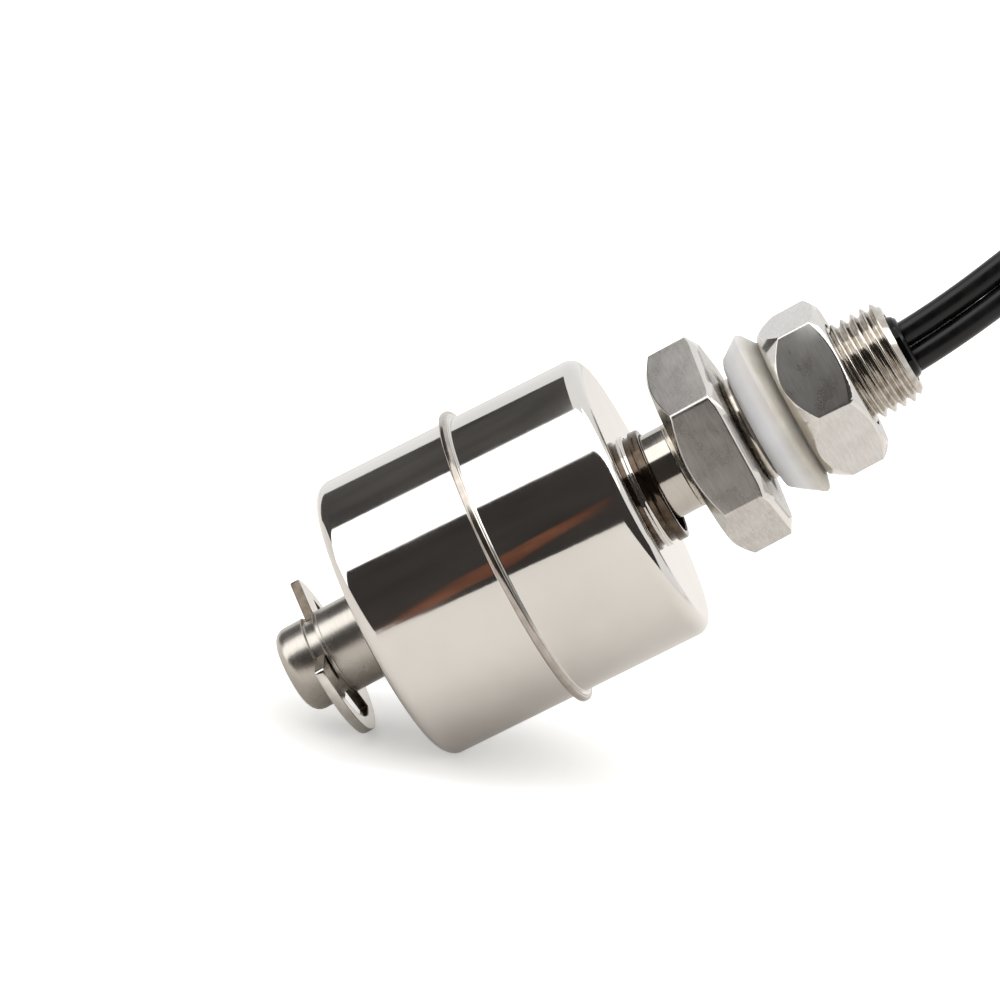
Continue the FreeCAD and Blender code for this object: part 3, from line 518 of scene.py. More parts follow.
def hexagon_reach(flats, rounding, angle):
    """How far a hexagon with rounded corners reaches at an angle from one of its corners."""
    half_side = math.pi / 6
    angle = abs((angle + half_side) % (2 * half_side) - half_side)
    centre = (flats / 2 - rounding) / math.cos(half_side)
    arc_end = math.atan2(rounding * math.sin(half_side), centre + rounding * math.cos(half_side))
    if angle < arc_end:
        return centre * math.cos(angle) + math.sqrt(rounding**2 - (centre * math.sin(angle)) ** 2)
    return flats / 2 / math.cos(half_side - angle)


HEX_ARC_STEPS = 7
HEX_FLAT_STEPS = 14
EDGE_ROUND = 0.2
LEAST_STEP = 1e-4


def turned_hexagon(name, size, low_cone, top_cone, bore, bevel=0.0):
    """A hexagon whose corners are turned off by a cone at each end, with fine rounded edges.
    bore is the inner outline from the top face down to the lower one, as (r, z, rounding),
    and bevel is the size of the bevel along the edges of the top face."""
    corner_half = math.radians(size["corner_half"])
    angles = []
    for k in range(6):
        start = math.radians(size["turn"]) + k * math.pi / 3
        angles += [start - corner_half + 2 * corner_half * j / HEX_ARC_STEPS for j in range(HEX_ARC_STEPS)]
        flat = math.pi / 3 - 2 * corner_half
        angles += [start + corner_half + flat * j / HEX_FLAT_STEPS for j in range(HEX_FLAT_STEPS)]
    columns = []
    for angle in angles:
        beside = angle - math.radians(size["turn"])
        reach = hexagon_reach(size["flats"], size["corner"], beside)
        inside = hexagon_reach(size["flats"] - 2 * bevel, size["corner"], beside) - LEAST_STEP
        low_face, low_slope = low_cone
        top_face, top_slope = top_cone
        low_cut = max(0.0, reach - low_face) * low_slope
        top_cut = max(bevel, (reach - top_face) * top_slope)
        inside_cut = max(0.0, (inside - top_face) * top_slope)
        outer = [
            (min(low_face, reach - LEAST_STEP), size["low"], EDGE_ROUND),
            (reach, size["low"] + low_cut, EDGE_ROUND),
            (reach, size["top"] - top_cut, EDGE_ROUND),
            (inside, size["top"] - inside_cut, EDGE_ROUND if bevel > 0 else 0.0),
            (min(top_face, inside - LEAST_STEP), size["top"], EDGE_ROUND),
        ]
        columns.append((angle, rounded_outline(outer + bore, 3)))
    points = [(r * math.cos(a), r * math.sin(a), z) for a, outline in columns for r, z in outline]
    faces = ring_faces(len(columns), len(columns[0][1]))
    return even_normals(link_object(name, made_mesh(name, points, faces)))


# ---------------------------------------------------------------------------------------
# The cut thread, as a node tree
# ---------------------------------------------------------------------------------------
def named_inputs(tree, **kinds):
    """Inputs of a node tree for its sizes, after its geometry."""
    tree.interface.new_socket("Geometry", in_out="INPUT", socket_type="NodeSocketGeometry")
    for name, kind in kinds.items():
        tree.interface.new_socket(name, in_out="INPUT", socket_type=kind)
    tree.interface.new_socket("Geometry", in_out="OUTPUT", socket_type="NodeSocketGeometry")
    return add(tree, "NodeGroupInput").outputs


def apply_tree(piece, tree, **values):
    """Runs a node tree on a piece with these sizes and keeps the result as its plain mesh."""
    modifier = piece.modifiers.new(tree.name, "NODES")
    modifier.node_group = tree
    for item in tree.interface.items_tree:
        if item.item_type == "SOCKET" and item.in_out == "INPUT" and item.name in values:
            modifier[item.identifier] = values[item.name]
    result = bpy.data.meshes.new_from_object(piece.evaluated_get(bpy.context.evaluated_depsgraph_get()))
    piece.modifiers.clear()
    piece.data = result
    return piece


# The shares of the thread's half pitch at which its flat crest ends and its root begins, and
# how much of its flank is rounded.
CREST_END = 0.1
ROOT_START = 0.88
ROUNDED_SHARE = 0.3


def thread_tree():
    """A right-hand V thread: a strip whose rows follow the helix, cut to length at both ends."""
    tree = bpy.data.node_groups.new("cut_thread", "GeometryNodeTree")
    size = named_inputs(
        tree,
        crest="NodeSocketFloat",
        depth="NodeSocketFloat",
        pitch="NodeSocketFloat",
        low="NodeSocketFloat",
        top="NodeSocketFloat",
        shank="NodeSocketFloat",
        lead_in="NodeSocketFloat",
        columns="NodeSocketInt",
        rows="NodeSocketInt",
        finish="NodeSocketMaterial",
    )
    # One column more than the turn needs, and rows from a pitch below the start to the end.
    across = calc(tree, "ADD", size["columns"], 1)
    grid = add(
        tree,
        "GeometryNodeMeshGrid",
        {"Size X": 1.0, "Size Y": 1.0, "Vertices X": across, "Vertices Y": size["rows"]},
    )
    place = add(tree, "ShaderNodeSeparateXYZ", {0: add(tree, "GeometryNodeInputPosition").outputs[0]})
    turn = calc(tree, "MULTIPLY", calc(tree, "ADD", place.outputs["X"], 0.5), 2 * math.pi)
    length = calc(tree, "ADD", calc(tree, "SUBTRACT", size["top"], size["low"]), size["pitch"])
    along = calc(tree, "MULTIPLY", calc(tree, "ADD", place.outputs["Y"], 0.5), length)
    strip = calc(tree, "SUBTRACT", along, size["pitch"])
    risen = calc(tree, "MULTIPLY", size["pitch"], calc(tree, "ADD", place.outputs["X"], 0.5))
    level = calc(tree, "ADD", calc(tree, "ADD", strip, risen), size["low"])
    level = calc(tree, "MAXIMUM", calc(tree, "MINIMUM", level, size["top"]), size["low"])
    # The V: a triangle wave with flat crests and rounded roots.
    phase = calc(tree, "DIVIDE", strip, size["pitch"])
    wave = calc(tree, "PINGPONG", phase, 0.5)
    wave = calc(tree, "MULTIPLY", wave, 2.0)
    flank = {"Value": wave, "From Min": CREST_END, "From Max": ROOT_START}
    rounded = add(tree, "ShaderNodeMapRange", flank, interpolation_type="SMOOTHERSTEP").outputs["Result"]
    plain = add(tree, "ShaderNodeMapRange", flank).outputs["Result"]
    rounded = calc(tree, "MULTIPLY", rounded, ROUNDED_SHARE)
    plain = calc(tree, "MULTIPLY", plain, 1 - ROUNDED_SHARE)
    ramp = calc(tree, "ADD", rounded, plain)
    reach = calc(tree, "SUBTRACT", size["crest"], calc(tree, "MULTIPLY", ramp, size["depth"]))
    # The thread runs out into the shank, and its first turn is chamfered.
    run_out = calc(tree, "SUBTRACT", size["shank"], calc(tree, "SUBTRACT", level, size["low"]))
    reach = calc(tree, "MAXIMUM", reach, run_out)
    cone = calc(tree, "SUBTRACT", size["crest"], size["lead_in"])
    cone = calc(tree, "ADD", cone, calc(tree, "SUBTRACT", size["top"], level))
    reach = calc(tree, "MINIMUM", reach, cone)
    spot = add(
        tree,
        "ShaderNodeCombineXYZ",
        {
            "X": calc(tree, "MULTIPLY", reach, calc(tree, "COSINE", turn)),
            "Y": calc(tree, "MULTIPLY", reach, calc(tree, "SINE", turn)),
            "Z": level,
        },
    )
    rolled = {"Geometry": grid.outputs["Mesh"], "Position": spot.outputs[0]}
    moved = add(tree, "GeometryNodeSetPosition", rolled)
    both = add(tree, "GeometryNodeJoinGeometry")
    tree.links.new(size["Geometry"], both.inputs[0])
    tree.links.new(moved.outputs[0], both.inputs[0])
    closed = add(tree, "GeometryNodeMergeByDistance", {"Geometry": both.outputs[0], "Distance": 2e-6})
    smooth = add(tree, "GeometryNodeSetShadeSmooth", {"Geometry": closed.outputs[0]})
    real = add(tree, "GeometryNodeRealizeInstances", {"Geometry": smooth.outputs[0]})
    coated = add(tree, "GeometryNodeSetMaterial", {"Geometry": real.outputs[0], "Material": size["finish"]})
    add(tree, "NodeGroupOutput", {0: coated.outputs[0]})
    return tree


# ---------------------------------------------------------------------------------------
# Materials
# ---------------------------------------------------------------------------------------
def steel(
    name, low, high, smooth, rough, grain, wave, wave_height, mark_height, mark_shade=0.0, dull_end=None
):
    """Stainless steel. low and high are its two tones, smooth and rough its range of
    roughness, grain the size of its blotches, and wave the size of its surface waves.
    mark_height and mark_shade are the depth of its tool marks and how much they darken it.
    dull_end is a pair of heights between which a stem goes from dull to bright."""
    material, tree = new_material(name)
    blotch = noise(tree, object_space(tree, grain), 4.0)
    tone = two_tones(tree, blotch, low, high)
    polish = add(tree, "ShaderNodeMapRange", {"Value": blotch, "From Min": 0.3, "From Max": 0.7})
    polish.inputs["To Min"].default_value = smooth
    polish.inputs["To Max"].default_value = rough
    sheen = polish.outputs["Result"]
    if dull_end:
        spot = add(tree, "ShaderNodeSeparateXYZ", {0: object_space(tree, 1.0)})
        share = add(tree, "ShaderNodeMapRange", {"Value": spot.outputs["Z"], "To Min": 1.0, "To Max": 0.4})
        share.inputs["From Min"].default_value, share.inputs["From Max"].default_value = dull_end
        sheen = calc(tree, "MULTIPLY", sheen, share.outputs["Result"])
    swell = noise(tree, object_space(tree, wave), 3.0)
    bump = add(tree, "ShaderNodeBump", {"Height": swell, "Distance": wave_height * MM, "Strength": 1.0})
    # Fine tool marks run round the stem's axis, and show in the tone as well as in the relief.
    mark = noise(tree, object_space(tree, 0.22, (0.16, 0.16, 1.0)), 3.0)
    relief = {"Height": mark, "Distance": mark_height * MM, "Normal": bump.outputs[0]}
    fine = add(tree, "ShaderNodeBump", relief)
    shade = add(tree, "ShaderNodeMapRange", {"Value": mark, "From Min": 0.3, "From Max": 0.7})
    shade.inputs["To Min"].default_value = 1.0 - mark_shade
    shaded = {0: 1.0, 1: tone, 2: shade.outputs[0]}
    tone = add(tree, "ShaderNodeMixRGB", shaded, blend_type="MULTIPLY").outputs[0]
    surface(tree, Base_Color=tone, Metallic=1.0, Roughness=sheen, Normal=fine.outputs[0])
    return material


# Deep-drawn and mirror polished: soft orange-peel waves bend the reflections' edges.
polished_stainless = steel("polished_stainless", "#D2CFCA", "#DAD7D2", 0.05, 0.085, 9.0, 4.0, 0.006, 0.0001)
# The stem: the same steel, turned and only brushed over.
STEM_DULL_END = (-40.0, -12.0)
brushed_stainless = steel(
    "brushed_stainless", "#B8B3AB", "#C2BDB5", 0.24, 0.32, 3.0, 1.5, 0.004, 0.0008, 0.06, STEM_DULL_END
)
# The guide tube: tinted by the heat of its welds, and darkened further as painted shade where the flange
# shadows its collar.
tinted_and_shaded_stainless = steel("tinted_and_shaded_stainless", "#45392F", "#665A4E", 0.08, 0.16, 1.5, 1.0, 0.004, 0.0004, 0.1)
# Turned chamfers, brighter than the flats beside them.
chamfer_stainless = steel("chamfer_stainless", "#D6D3CE", "#DEDBD6", 0.12, 0.18, 1.5, 1.0, 0.003, 0.0003)
# Turned and tumbled: a satin face with darker blotches and fine tool marks.
turned_stainless = steel("turned_stainless", "#C8C4BF", "#D2CFCA", 0.25, 0.31, 2.4, 0.7, 0.0016, 0.0016, 0.18)
# The rolled thread is brighter than the turned faces.
thread_stainless = steel("thread_stainless", "#AEA79D", "#CBC6BF", 0.10, 0.17, 1.0, 0.7, 0.006, 0.0006)
# Bright-drawn hexagon bar: satin flats with fine tool marks.
bright_nut_stainless = steel(
    "bright_nut_stainless", "#D0CDCA", "#D6D4D1", 0.26, 0.30, 2.0, 0.8, 0.0012, 0.0010, 0.12
)
# Stamped from rolled strip: bright, with a slightly dull skin.
stamped_spring_steel = steel(
    "stamped_spring_steel", "#D0CCC6", "#E0DDD8", 0.14, 0.22, 1.2, 1.0, 0.006, 0.0006, 0.05
)
# The clip's sheared edges: darker and duller than the strip's faces.
sheared_spring_steel = steel(
    "sheared_spring_steel", "#6A6155", "#857B6E", 0.28, 0.38, 0.8, 0.5, 0.006, 0.001, 0.1
)
# The float's seam: rolled, welded and only lightly polished.
seam_stainless = steel("seam_stainless", "#A8A098", "#BBB4AC", 0.12, 0.20, 1.2, 0.8, 0.006, 0.0004, 0.06)
# A fused bead: smooth and a little straw coloured from the heat.
weld_bead_steel = steel("weld_bead_steel", "#C4BDB2", "#CFC9C0", 0.20, 0.30, 0.8, 0.5, 0.006, 0.0006, 0.05)


def translucent_silicone():
    """Moulded silicone rubber: milky, with light passing through its thin edges."""
    material, tree = new_material("milky_silicone")
    cloud = noise(tree, object_space(tree, 2.5), 3.0)
    pale = colour_ramp(tree, cloud, (0.3, "#E8E6E8"), (0.7, "#F1EFEE"))
    darker_warm_upper = colour_ramp(tree, cloud, (0.3, "#ABA59A"), (0.7, "#BCB7AD"))
    level = add(tree, "ShaderNodeSeparateXYZ", {0: object_space(tree, 1.0)})
    # The upper rim, towards the nut, is darker and warmer, and the change spans these heights.
    share = add(tree, "ShaderNodeMapRange", {"Value": level.outputs["Z"], "From Min": 2.8, "From Max": 4.2})
    tone = add(tree, "ShaderNodeMixRGB", {0: share.outputs["Result"], 1: pale, 2: darker_warm_upper}).outputs[0]
    skin = noise(tree, object_space(tree, 0.5), 2.0)
    bump = add(tree, "ShaderNodeBump", {"Height": skin, "Distance": 0.01 * MM})
    shader = surface(tree, Base_Color=tone, Roughness=0.38, IOR=1.41, Normal=bump.outputs[0])
    shader.inputs["Subsurface Weight"].default_value = 1.0
    shader.inputs["Subsurface Radius"].default_value = (2.6, 2.3, 1.9)
    shader.inputs["Subsurface Scale"].default_value = MM
    shader.inputs["Transmission Weight"].default_value = 0.25
    return material


milky_silicone = translucent_silicone()


def dark_gloss(name, low, high, roughness, grain, height, gloss=0.34):
    """A black plastic or resin: nearly one tone, with soft gloss and a faintly uneven skin."""
    material, tree = new_material(name)
    cloud = noise(tree, object_space(tree, grain), 3.0)
    tone = two_tones(tree, cloud, low, high)
    bump = add(tree, "ShaderNodeBump", {"Height": cloud, "Distance": height * MM})
    sheen = add(tree, "ShaderNodeMapRange", {"Value": cloud, "From Min": 0.3, "From Max": 0.7})
    sheen.inputs["To Min"].default_value = roughness * 0.8
    sheen.inputs["To Max"].default_value = roughness * 1.2
    sheen = sheen.outputs["Result"]
    shader = surface(tree, Base_Color=tone, Roughness=sheen, IOR=1.5, Normal=bump.outputs[0])
    shader.inputs["Specular IOR Level"].default_value = gloss
    return material


# Extruded PVC: a drawn skin with soft gloss.
lead_pvc = dark_gloss("lead_pvc", "#060607", "#0C0C0D", 0.30, 1.6, 0.004)
# Cast epoxy: wet-looking, with small hollows where it shrank.
cast_epoxy = dark_gloss("cast_epoxy", "#020202", "#050505", 0.08, 1.1, 0.03, gloss=0.14)
# Moulded nylon: a fine matt texture.
moulded_nylon = dark_gloss("moulded_nylon", "#0E0E0F", "#19191A", 0.45, 0.35, 0.008)


def plain_finish(name, low, high, roughness, grain, height, metallic=0.0, ior=1.5):
    """A finish of two close tones with a fine grain, for the pieces inside."""
    material, tree = new_material(name)
    cloud = noise(tree, object_space(tree, grain), 4.0)
    tone = two_tones(tree, cloud, low, high)
    bump = add(tree, "ShaderNodeBump", {"Height": cloud, "Distance": height * MM})
    surface(tree, Base_Color=tone, Roughness=roughness, Metallic=metallic, IOR=ior, Normal=bump.outputs[0])
    return material


sintered_ferrite = plain_finish("sintered_ferrite", "#242323", "#34312F", 0.55, 0.4, 0.02)
turned_brass = plain_finish("turned_brass", "#B28B4A", "#C49C58", 0.25, 0.8, 0.004, metallic=1.0)
extruded_ptfe = plain_finish("extruded_ptfe", "#DAD9D2", "#E6E5DF", 0.40, 1.2, 0.006)
plated_reed_alloy = plain_finish("plated_reed_alloy", "#B5B0A8", "#C8C4BC", 0.20, 0.6, 0.003, metallic=1.0)
dull_solder = plain_finish("dull_solder", "#A3A4A6", "#B9BABB", 0.32, 0.5, 0.015, metallic=1.0)
red_wire_pvc = plain_finish("red_wire_pvc", "#7E1712", "#93201A", 0.40, 0.9, 0.005)
tinned_copper = plain_finish("tinned_copper", "#B9B4AC", "#D0CCC6", 0.24, 0.3, 0.004, metallic=1.0)


def sealed_glass():
    """Soda glass of a reed's capsule: clear, with a faint green in its thickness."""
    material, tree = new_material("sealed_glass")
    surface(tree, Base_Color=linear("#DDEBE2"), Roughness=0.02, IOR=1.5, Transmission_Weight=1.0)
    return material


sealed_glass_finish = sealed_glass()


# The faces of a turned chamfer look up or down by more than an upright side and less than an end.
CHAMFER_LEAST, CHAMFER_MOST = 0.25, 0.97


def bright_chamfers(piece, material):
    """Gives the turned chamfers of a hexagon a material of their own."""
    piece.data.materials.append(material)
    for face in piece.data.polygons:
        face.material_index = 1 if CHAMFER_LEAST < abs(face.normal.z) < CHAMFER_MOST else 0


def sheared_edges(piece, material, radius):
    """Gives the upright faces of a stamped piece that lie inside a radius another material."""
    piece.data.materials.append(material)
    for face in piece.data.polygons:
        upright = abs(face.normal.z) < 0.5
        face.material_index = 1 if upright and face.center.xy.length < radius * MM else 0


def finish(piece, material, slot, body, *nodes):
    """Gives a piece its material, the body it rides on and the nodes it stands for; slot is not used."""
    piece.data.materials.clear()
    piece.data.materials.append(material)
    if nodes:
        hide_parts(*nodes)
    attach(piece, body)
    return piece


# ---------------------------------------------------------------------------------------
# Mounting bolt
# ---------------------------------------------------------------------------------------
flange_bore = [(STEM_RADIUS, FLANGE["top"], 0.0), (STEM_RADIUS, FLANGE["low"], 0.0)]
flange = turned_hexagon(
    "hexagonal_flange", FLANGE, FLANGE_LOW_CONE, FLANGE_TOP_CONE, flange_bore, FLANGE_BEVEL
)
finish(flange, turned_stainless, "turned_steel", "switch_stem", "mounting_bolt")
bright_chamfers(flange, chamfer_stainless)

THREAD_COLUMNS = 96
ROWS_PER_PITCH = 15


def nipple_core():
    """The open skin of the nipple apart from its thread: shank, bore and end face."""
    end_edge = THREAD_CREST - THREAD_LEAD_IN
    outline = [
        (SHANK_RADIUS, SHANK_TOP),
        (SHANK_RADIUS, -NIPPLE_SUNK),
        (NIPPLE_BORE, -NIPPLE_SUNK),
        *[(NIPPLE_BORE + out, NIPPLE_TOP - down) for out, down in NIPPLE_MOUTH],
        (end_edge, NIPPLE_TOP),
    ]
    faces = ring_faces(THREAD_COLUMNS, len(outline), closed=False)
    return made_mesh("threaded_nipple", ring_points(outline, THREAD_COLUMNS), faces)


nipple = link_object("threaded_nipple", nipple_core())
strip_rows = round((NIPPLE_TOP - SHANK_TOP + THREAD_PITCH) / THREAD_PITCH * ROWS_PER_PITCH) + 1
apply_tree(
    nipple,
    thread_tree(),
    crest=THREAD_CREST * MM,
    depth=THREAD_DEPTH * MM,
    pitch=THREAD_PITCH * MM,
    low=SHANK_TOP * MM,
    top=NIPPLE_TOP * MM,
    shank=SHANK_RADIUS * MM,
    lead_in=THREAD_LEAD_IN * MM,
    columns=THREAD_COLUMNS,
    rows=strip_rows,
    finish=thread_stainless,
)


def faces_outwards(piece):
    """Turns every face of a closed piece outwards."""
    work = bmesh.new()
    work.from_mesh(piece.data)
    bmesh.ops.recalc_face_normals(work, faces=work.faces)
    for face in work.faces:
        face.smooth = True
    work.to_mesh(piece.data)
    work.free()
    return piece


even_normals(faces_outwards(nipple))
finish(nipple, thread_stainless, "turned_steel", "switch_stem", "mounting_bolt")

# ---------------------------------------------------------------------------------------
# Stem
# ---------------------------------------------------------------------------------------
stem_tube = turned_piece(
    "stem_tube_polished",
    [
        (STEM_RADIUS, SOCKET_TOP, 0.0),
        (STEM_RADIUS, PLUG_TOP, 0.06),
        (STEM_RADIUS - STEM_WALL, PLUG_TOP, 0.0),
        (STEM_RADIUS - STEM_WALL, SOCKET_TOP, 0.0),
    ],
)
finish(stem_tube, brushed_stainless, "polished_steel", "switch_stem", "stem_tube")

stem_plug = turned_piece(
    "stem_end_plug",
    [
        (0.0, STEM_END, 0.0),
        (STEM_RADIUS, STEM_END, STEM_END_ROUND),
        (STEM_RADIUS, CLIP_MIDDLE - GROOVE_WIDTH / 2, 0.08),
        (GROOVE_RADIUS, CLIP_MIDDLE - GROOVE_WIDTH / 2, 0.1),
        (GROOVE_RADIUS, CLIP_MIDDLE + GROOVE_WIDTH / 2, 0.1),
        (STEM_RADIUS, CLIP_MIDDLE + GROOVE_WIDTH / 2, 0.08),
        (STEM_RADIUS, PLUG_TOP, 0.06),
        (STEM_RADIUS - STEM_WALL, PLUG_TOP, 0.0),
        (STEM_RADIUS - STEM_WALL, SPIGOT_TOP, 0.2),
        (0.0, SPIGOT_TOP, 0.0),
    ],
)
finish(stem_plug, brushed_stainless, "polished_steel", "switch_stem", "stem_plug")

weld_throat = [
    (
        STEM_RADIUS + WELD_LEG * (1 - math.sin(math.radians(a))),
        FLANGE["low"] - WELD_LEG * (1 - math.cos(math.radians(a))),
        0.0,
    )
    for a in range(0, 91, 10)
]
stem_weld = turned_piece(
    "stem_weld_fillet",
    weld_throat
    + [
        (STEM_RADIUS - WELD_SUNK, FLANGE["low"] - WELD_LEG, 0.0),
        (STEM_RADIUS - WELD_SUNK, FLANGE["low"] + WELD_SUNK, 0.0),
        (STEM_RADIUS + WELD_LEG, FLANGE["low"] + WELD_SUNK, 0.0),
    ],
    steps=1,
)
finish(stem_weld, weld_bead_steel, "weld_steel", "switch_stem", "stem_weld")


def fitted_copy(node, name, edge):
    """A clean copy of a model's node, with its doubles merged and its edges broken."""
    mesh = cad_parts[node].data.copy()
    mesh.name = name
    work = bmesh.new()
    work.from_mesh(mesh)
    bmesh.ops.remove_doubles(work, verts=work.verts, dist=1e-6)
    bmesh.ops.dissolve_limit(work, angle_limit=math.radians(0.6), verts=work.verts, edges=work.edges)
    for face in work.faces:
        face.smooth = True
    work.to_mesh(mesh)
    work.free()
    piece = link_object(name, mesh)
    bevel = piece.modifiers.new("broken_edges", "BEVEL")
    bevel.width = edge * MM
    bevel.segments = 2
    bevel.limit_method = "ANGLE"
    bevel.angle_limit = math.radians(40)
    return even_normals(piece)


clip = fitted_copy("retaining_clip", "retaining_clip_stamped", CLIP_EDGE)
finish(clip, stamped_spring_steel, "clip_steel", "switch_stem", "retaining_clip")
sheared_edges(clip, sheared_spring_steel, CLIP_RADIUS - CLIP_RIM)

# ---------------------------------------------------------------------------------------
# Gasket and nut
# ---------------------------------------------------------------------------------------
gasket = turned_piece(
    "silicone_gasket",
    [
        (GASKET_BORE, GASKET_LOW, 0.1),
        (GASKET_FOOT, GASKET_LOW, 0.2),
        *GASKET_SIDE,
        (GASKET_HEAD, GASKET_TOP, 0.1),
        (GASKET_BORE, GASKET_TOP, 0.1),
    ],
)
# Soft rubber never sits quite square on its thread: its rim leans between its two flat ends.
GASKET_SLANT = 0.045
GASKET_ASIDE = 0.1
GASKET_LOW_BEND = 0.5
GASKET_TOP_BEND = 0.9
for vertex in gasket.data.vertices:
    level = vertex.co.z / MM
    above_low = (level - GASKET_LOW) / GASKET_LOW_BEND
    below_top = (GASKET_TOP - level) / GASKET_TOP_BEND
    share = max(0.0, min(1.0, above_low, below_top))
    vertex.co.z += GASKET_SLANT * vertex.co.x * share
    vertex.co.x += GASKET_ASIDE * MM * share
finish(gasket, milky_silicone, "silicone", "gasket", "sealing_gasket")

nut_bore = [
    (NUT_BORE + NUT_MOUTH, NUT["top"], 0.08),
    (NUT_BORE, NUT["top"] - NUT_MOUTH, 0.08),
    (NUT_BORE, NUT["low"] + NUT_MOUTH, 0.08),
    (NUT_BORE + NUT_MOUTH, NUT["low"], 0.08),
]
nut = turned_hexagon("hexagonal_nut", NUT, NUT_LOW_CONE, NUT_TOP_CONE, nut_bore)
finish(nut, bright_nut_stainless, "nut_steel", "nut", "mounting_nut")
bright_chamfers(nut, chamfer_stainless)

# ---------------------------------------------------------------------------------------
# Float
# ---------------------------------------------------------------------------------------
seam_middle = Matrix.Translation(Vector((0, 0, FLOAT_SEAM)) * MM)
aside = Matrix.Translation(Vector((FLOAT_ASIDE, 0, 0)) * MM)
LEANING = aside @ seam_middle @ Matrix.Rotation(FLOAT_LEAN, 4, "Y") @ seam_middle.inverted()


def leaning(piece):
    """The float hangs loose on the stem, so all of it leans over by the same angle."""
    piece.data.transform(LEANING)
    return piece


for side, end, node, name in (
    (1, FLOAT_TOP, "float_upper_shell", "float_upper_half"),
    (-1, FLOAT_LOW, "float_lower_shell", "float_lower_half"),
):
    flange_level = FLOAT_SEAM + side * SEAM_FLANGE_THICK
    shell = turned_piece(
        name,
        [
            (GUIDE_RADIUS, end + side * NECK_HEIGHT, 0.0),
            (NECK_RADIUS, end + side * NECK_HEIGHT, 0.12),
            (NECK_RADIUS, end, 0.1),
            (FLOAT_RADIUS, end, FLOAT_ROUND),
            (FLOAT_RADIUS, flange_level, 0.12),
            (SEAM_FLANGE, flange_level, 0.05),
            (SEAM_FLANGE, FLOAT_SEAM, 0.0),
            (FLOAT_RADIUS - FLOAT_WALL, FLOAT_SEAM, 0.0),
            (FLOAT_RADIUS - FLOAT_WALL, end - side * FLOAT_WALL, FLOAT_ROUND - FLOAT_WALL),
            (GUIDE_RADIUS, end - side * FLOAT_WALL, 0.0),
        ],
        segments=256,
        steps=9,
    )
    finish(leaning(shell), polished_stainless, "polished_steel", "float_shell", node)

seam_weld = turned_piece(
    "float_seam_bead",
    [
        (SEAM_FLANGE - SEAM_BEAD_FOOT, FLOAT_SEAM - SEAM_BEAD_HALF, 0.0),
        (SEAM_BEAD, FLOAT_SEAM - SEAM_FLANGE_THICK, SEAM_BEAD_ROUND),
        (SEAM_BEAD, FLOAT_SEAM + SEAM_FLANGE_THICK, SEAM_BEAD_ROUND),
        (SEAM_FLANGE - SEAM_BEAD_FOOT, FLOAT_SEAM + SEAM_BEAD_HALF, 0.0),
    ],
    segments=256,
)
finish(leaning(seam_weld), seam_stainless, "polished_steel", "float_shell", "float_seam_weld")

guide_tube = turned_piece(
    "float_guide_sleeve",
    [
        (GUIDE_BORE, GUIDE_LOW, 0.1),
        (NECK_RADIUS, GUIDE_LOW, 0.15),
        (NECK_RADIUS, GUIDE_LOW + LIP_LOW_HEIGHT, 0.1),
        (GUIDE_RADIUS, GUIDE_LOW + LIP_LOW_HEIGHT, 0.05),
        (GUIDE_RADIUS, GUIDE_TOP - LIP_HEIGHT, 0.1),
        (NECK_RADIUS, GUIDE_TOP - LIP_HEIGHT, 0.15),
        (NECK_RADIUS, GUIDE_TOP, 0.2),
        (GUIDE_BORE, GUIDE_TOP, 0.12),
    ],
)
finish(leaning(guide_tube), tinted_and_shaded_stainless, "polished_steel", "float_shell", "float_guide_tube")

# ---------------------------------------------------------------------------------------
# Resin, leads and their hank
# ---------------------------------------------------------------------------------------
# The resin stands over the nipple's end in a low dome.
resin = turned_piece(
    "potting_resin_cast",
    [
        (0.0, RESIN_LOW, 0.0),
        (NIPPLE_BORE + 0.02, RESIN_LOW, 0.1),
        (NIPPLE_BORE + 0.02, RESIN_EDGE, 0.15),
        (NIPPLE_BORE - 0.25, RESIN_TOP - 0.3, 0.2),
        (NIPPLE_BORE - 0.6, RESIN_TOP, 0.4),
        (0.0, RESIN_TOP, 0.0),
    ],
    segments=96,
)
finish(resin, cast_epoxy, "resin", "switch_stem", "potting_resin")

# The route's points, the same for both leads apart from their side.
HANK_FRONT = HANK_Y - HANK_LEG
LEAD_ROUTE = [
    (LEAD_ASIDE, 0.0, LEAD_START),
    (LEAD_ASIDE, 0.0, 18.5),
    (-2.1, 0.2, 34.0),
    (-2.4, 9.4, 39.9),
    (-1.95, HANK_FRONT + 0.2, 34.0),
    (0.45, HANK_FRONT + 0.5, 17.5),
    (0.0, HANK_FRONT, 1.5),
]
FOLD_POINTS = 9


def fold(shift, level, start, end):
    """The points of one of the hank's folds, a half turn round its centre."""
    points = []
    for i in range(FOLD_POINTS):
        angle = math.radians(start + (end - start) * i / (FOLD_POINTS - 1))
        away = HANK_Y + shift + HANK_FOLD * math.cos(angle)
        points.append((0.0, away, level + HANK_FOLD * math.sin(angle)))
    return points


def leg(top_offset, waist_offset, low_offset, downwards):
    """The points of one of the hank's legs, drawn in at the tie."""
    points = [
        (0.0, HANK_Y + (top_offset + waist_offset) / 2, HANK_Z + HANK_HALF * 0.5),
        (0.0, HANK_Y + waist_offset, HANK_Z + HANK_HALF * 0.15),
        (0.0, HANK_Y + waist_offset, HANK_Z - HANK_HALF * 0.15),
        (0.0, HANK_Y + (low_offset + waist_offset) / 2, HANK_Z - HANK_HALF * 0.5),
    ]
    return points if downwards else points[::-1]


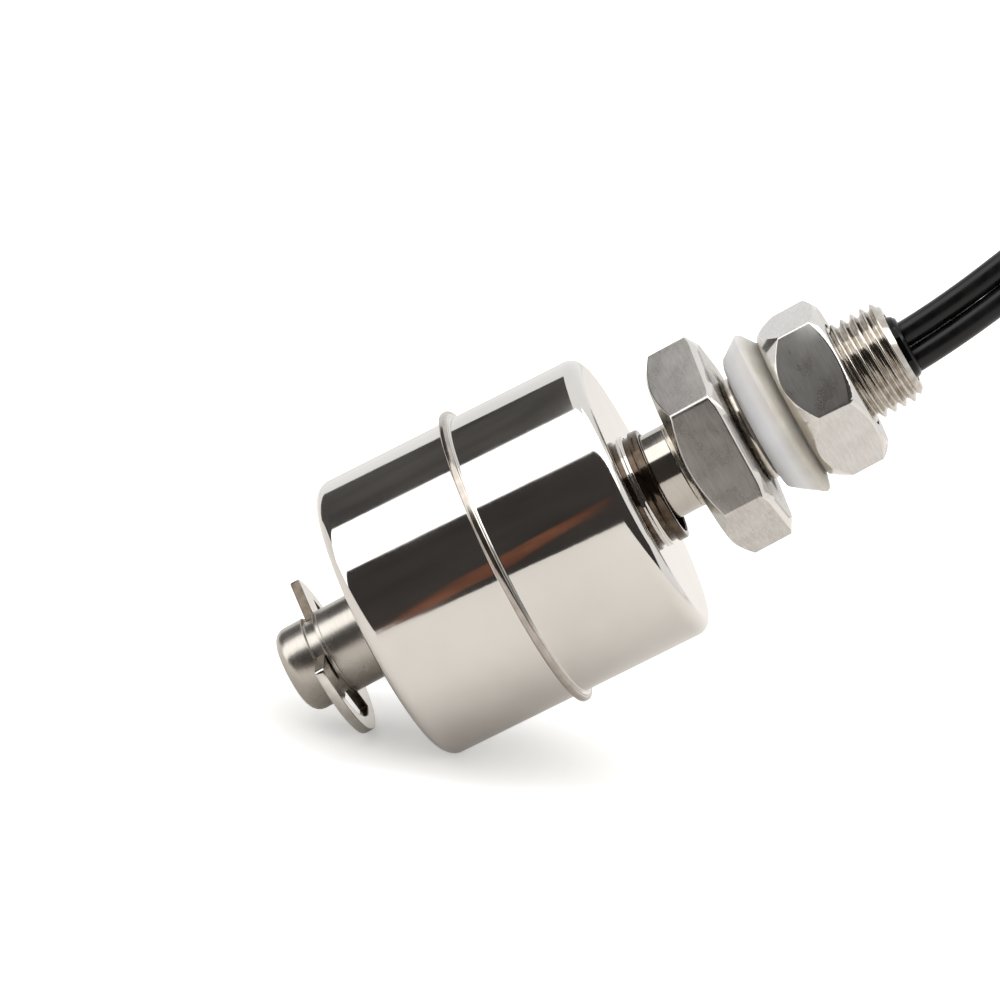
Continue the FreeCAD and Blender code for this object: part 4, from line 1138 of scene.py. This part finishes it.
low_level, top_level = HANK_Z - HANK_HALF, HANK_Z + HANK_HALF
inner_leg = HANK_FOLD - HANK_SHIFT
HANK_ROUTE = (
    leg(-HANK_LEG, -HANK_WAIST, -HANK_LEG, True)
    + fold(-HANK_SHIFT, low_level, 180, 360)
    + leg(-inner_leg, 0.0, inner_leg, False)
    + fold(HANK_SHIFT, top_level, 180, 0)
    + leg(HANK_LEG, HANK_WAIST, HANK_LEG, True)
    + [(0.0, HANK_Y + HANK_LEG, low_level), (0.0, HANK_Y + HANK_LEG, BARE_TOP - 0.6)]
)


def lead(name, side):
    """One lead from inside the resin to its stripped end, on one smooth spline."""
    curve = bpy.data.curves.new(name, "CURVE")
    curve.dimensions = "3D"
    curve.resolution_u = 12
    curve.bevel_depth = LEAD_RADIUS * MM
    curve.bevel_resolution = 8
    curve.use_fill_caps = True
    route = LEAD_ROUTE + HANK_ROUTE
    spline = curve.splines.new("NURBS")
    spline.points.add(len(route) - 1)
    for point, (x, y, z) in zip(spline.points, route):
        point.co = ((x + side * PAIR_OFFSET) * MM, y * MM, z * MM, 1.0)
    spline.order_u = 3
    spline.use_endpoint_u = True
    return link_object(name, curve)


for side, letter in ((-1, "a"), (1, "b")):
    wire = lead("lead_%s_insulated" % letter, side)
    finish(wire, lead_pvc, "lead_jacket", "switch_stem", "lead_" + letter, "lead_%s_coil" % letter)

# ---------------------------------------------------------------------------------------
# Pieces that keep the model's own shape
# ---------------------------------------------------------------------------------------
for node, material in (
    ("ring_magnet", sintered_ferrite),
    ("magnet_collar_upper", turned_brass),
    ("magnet_collar_lower", turned_brass),
    ("insulating_sleeve", extruded_ptfe),
    ("reed_glass", sealed_glass_finish),
    ("reed_blade_upper", plated_reed_alloy),
    ("reed_blade_lower", plated_reed_alloy),
    ("feed_wire", red_wire_pvc),
    ("return_wire", red_wire_pvc),
    ("solder_joint_upper", dull_solder),
    ("solder_joint_lower", dull_solder),
    ("coil_tie", moulded_nylon),
    ("conductor_end_a", tinned_copper),
    ("conductor_end_b", tinned_copper),
):
    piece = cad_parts[node]
    piece.data.materials.clear()
    piece.data.materials.append(material)

bpy.context.view_layer.update()
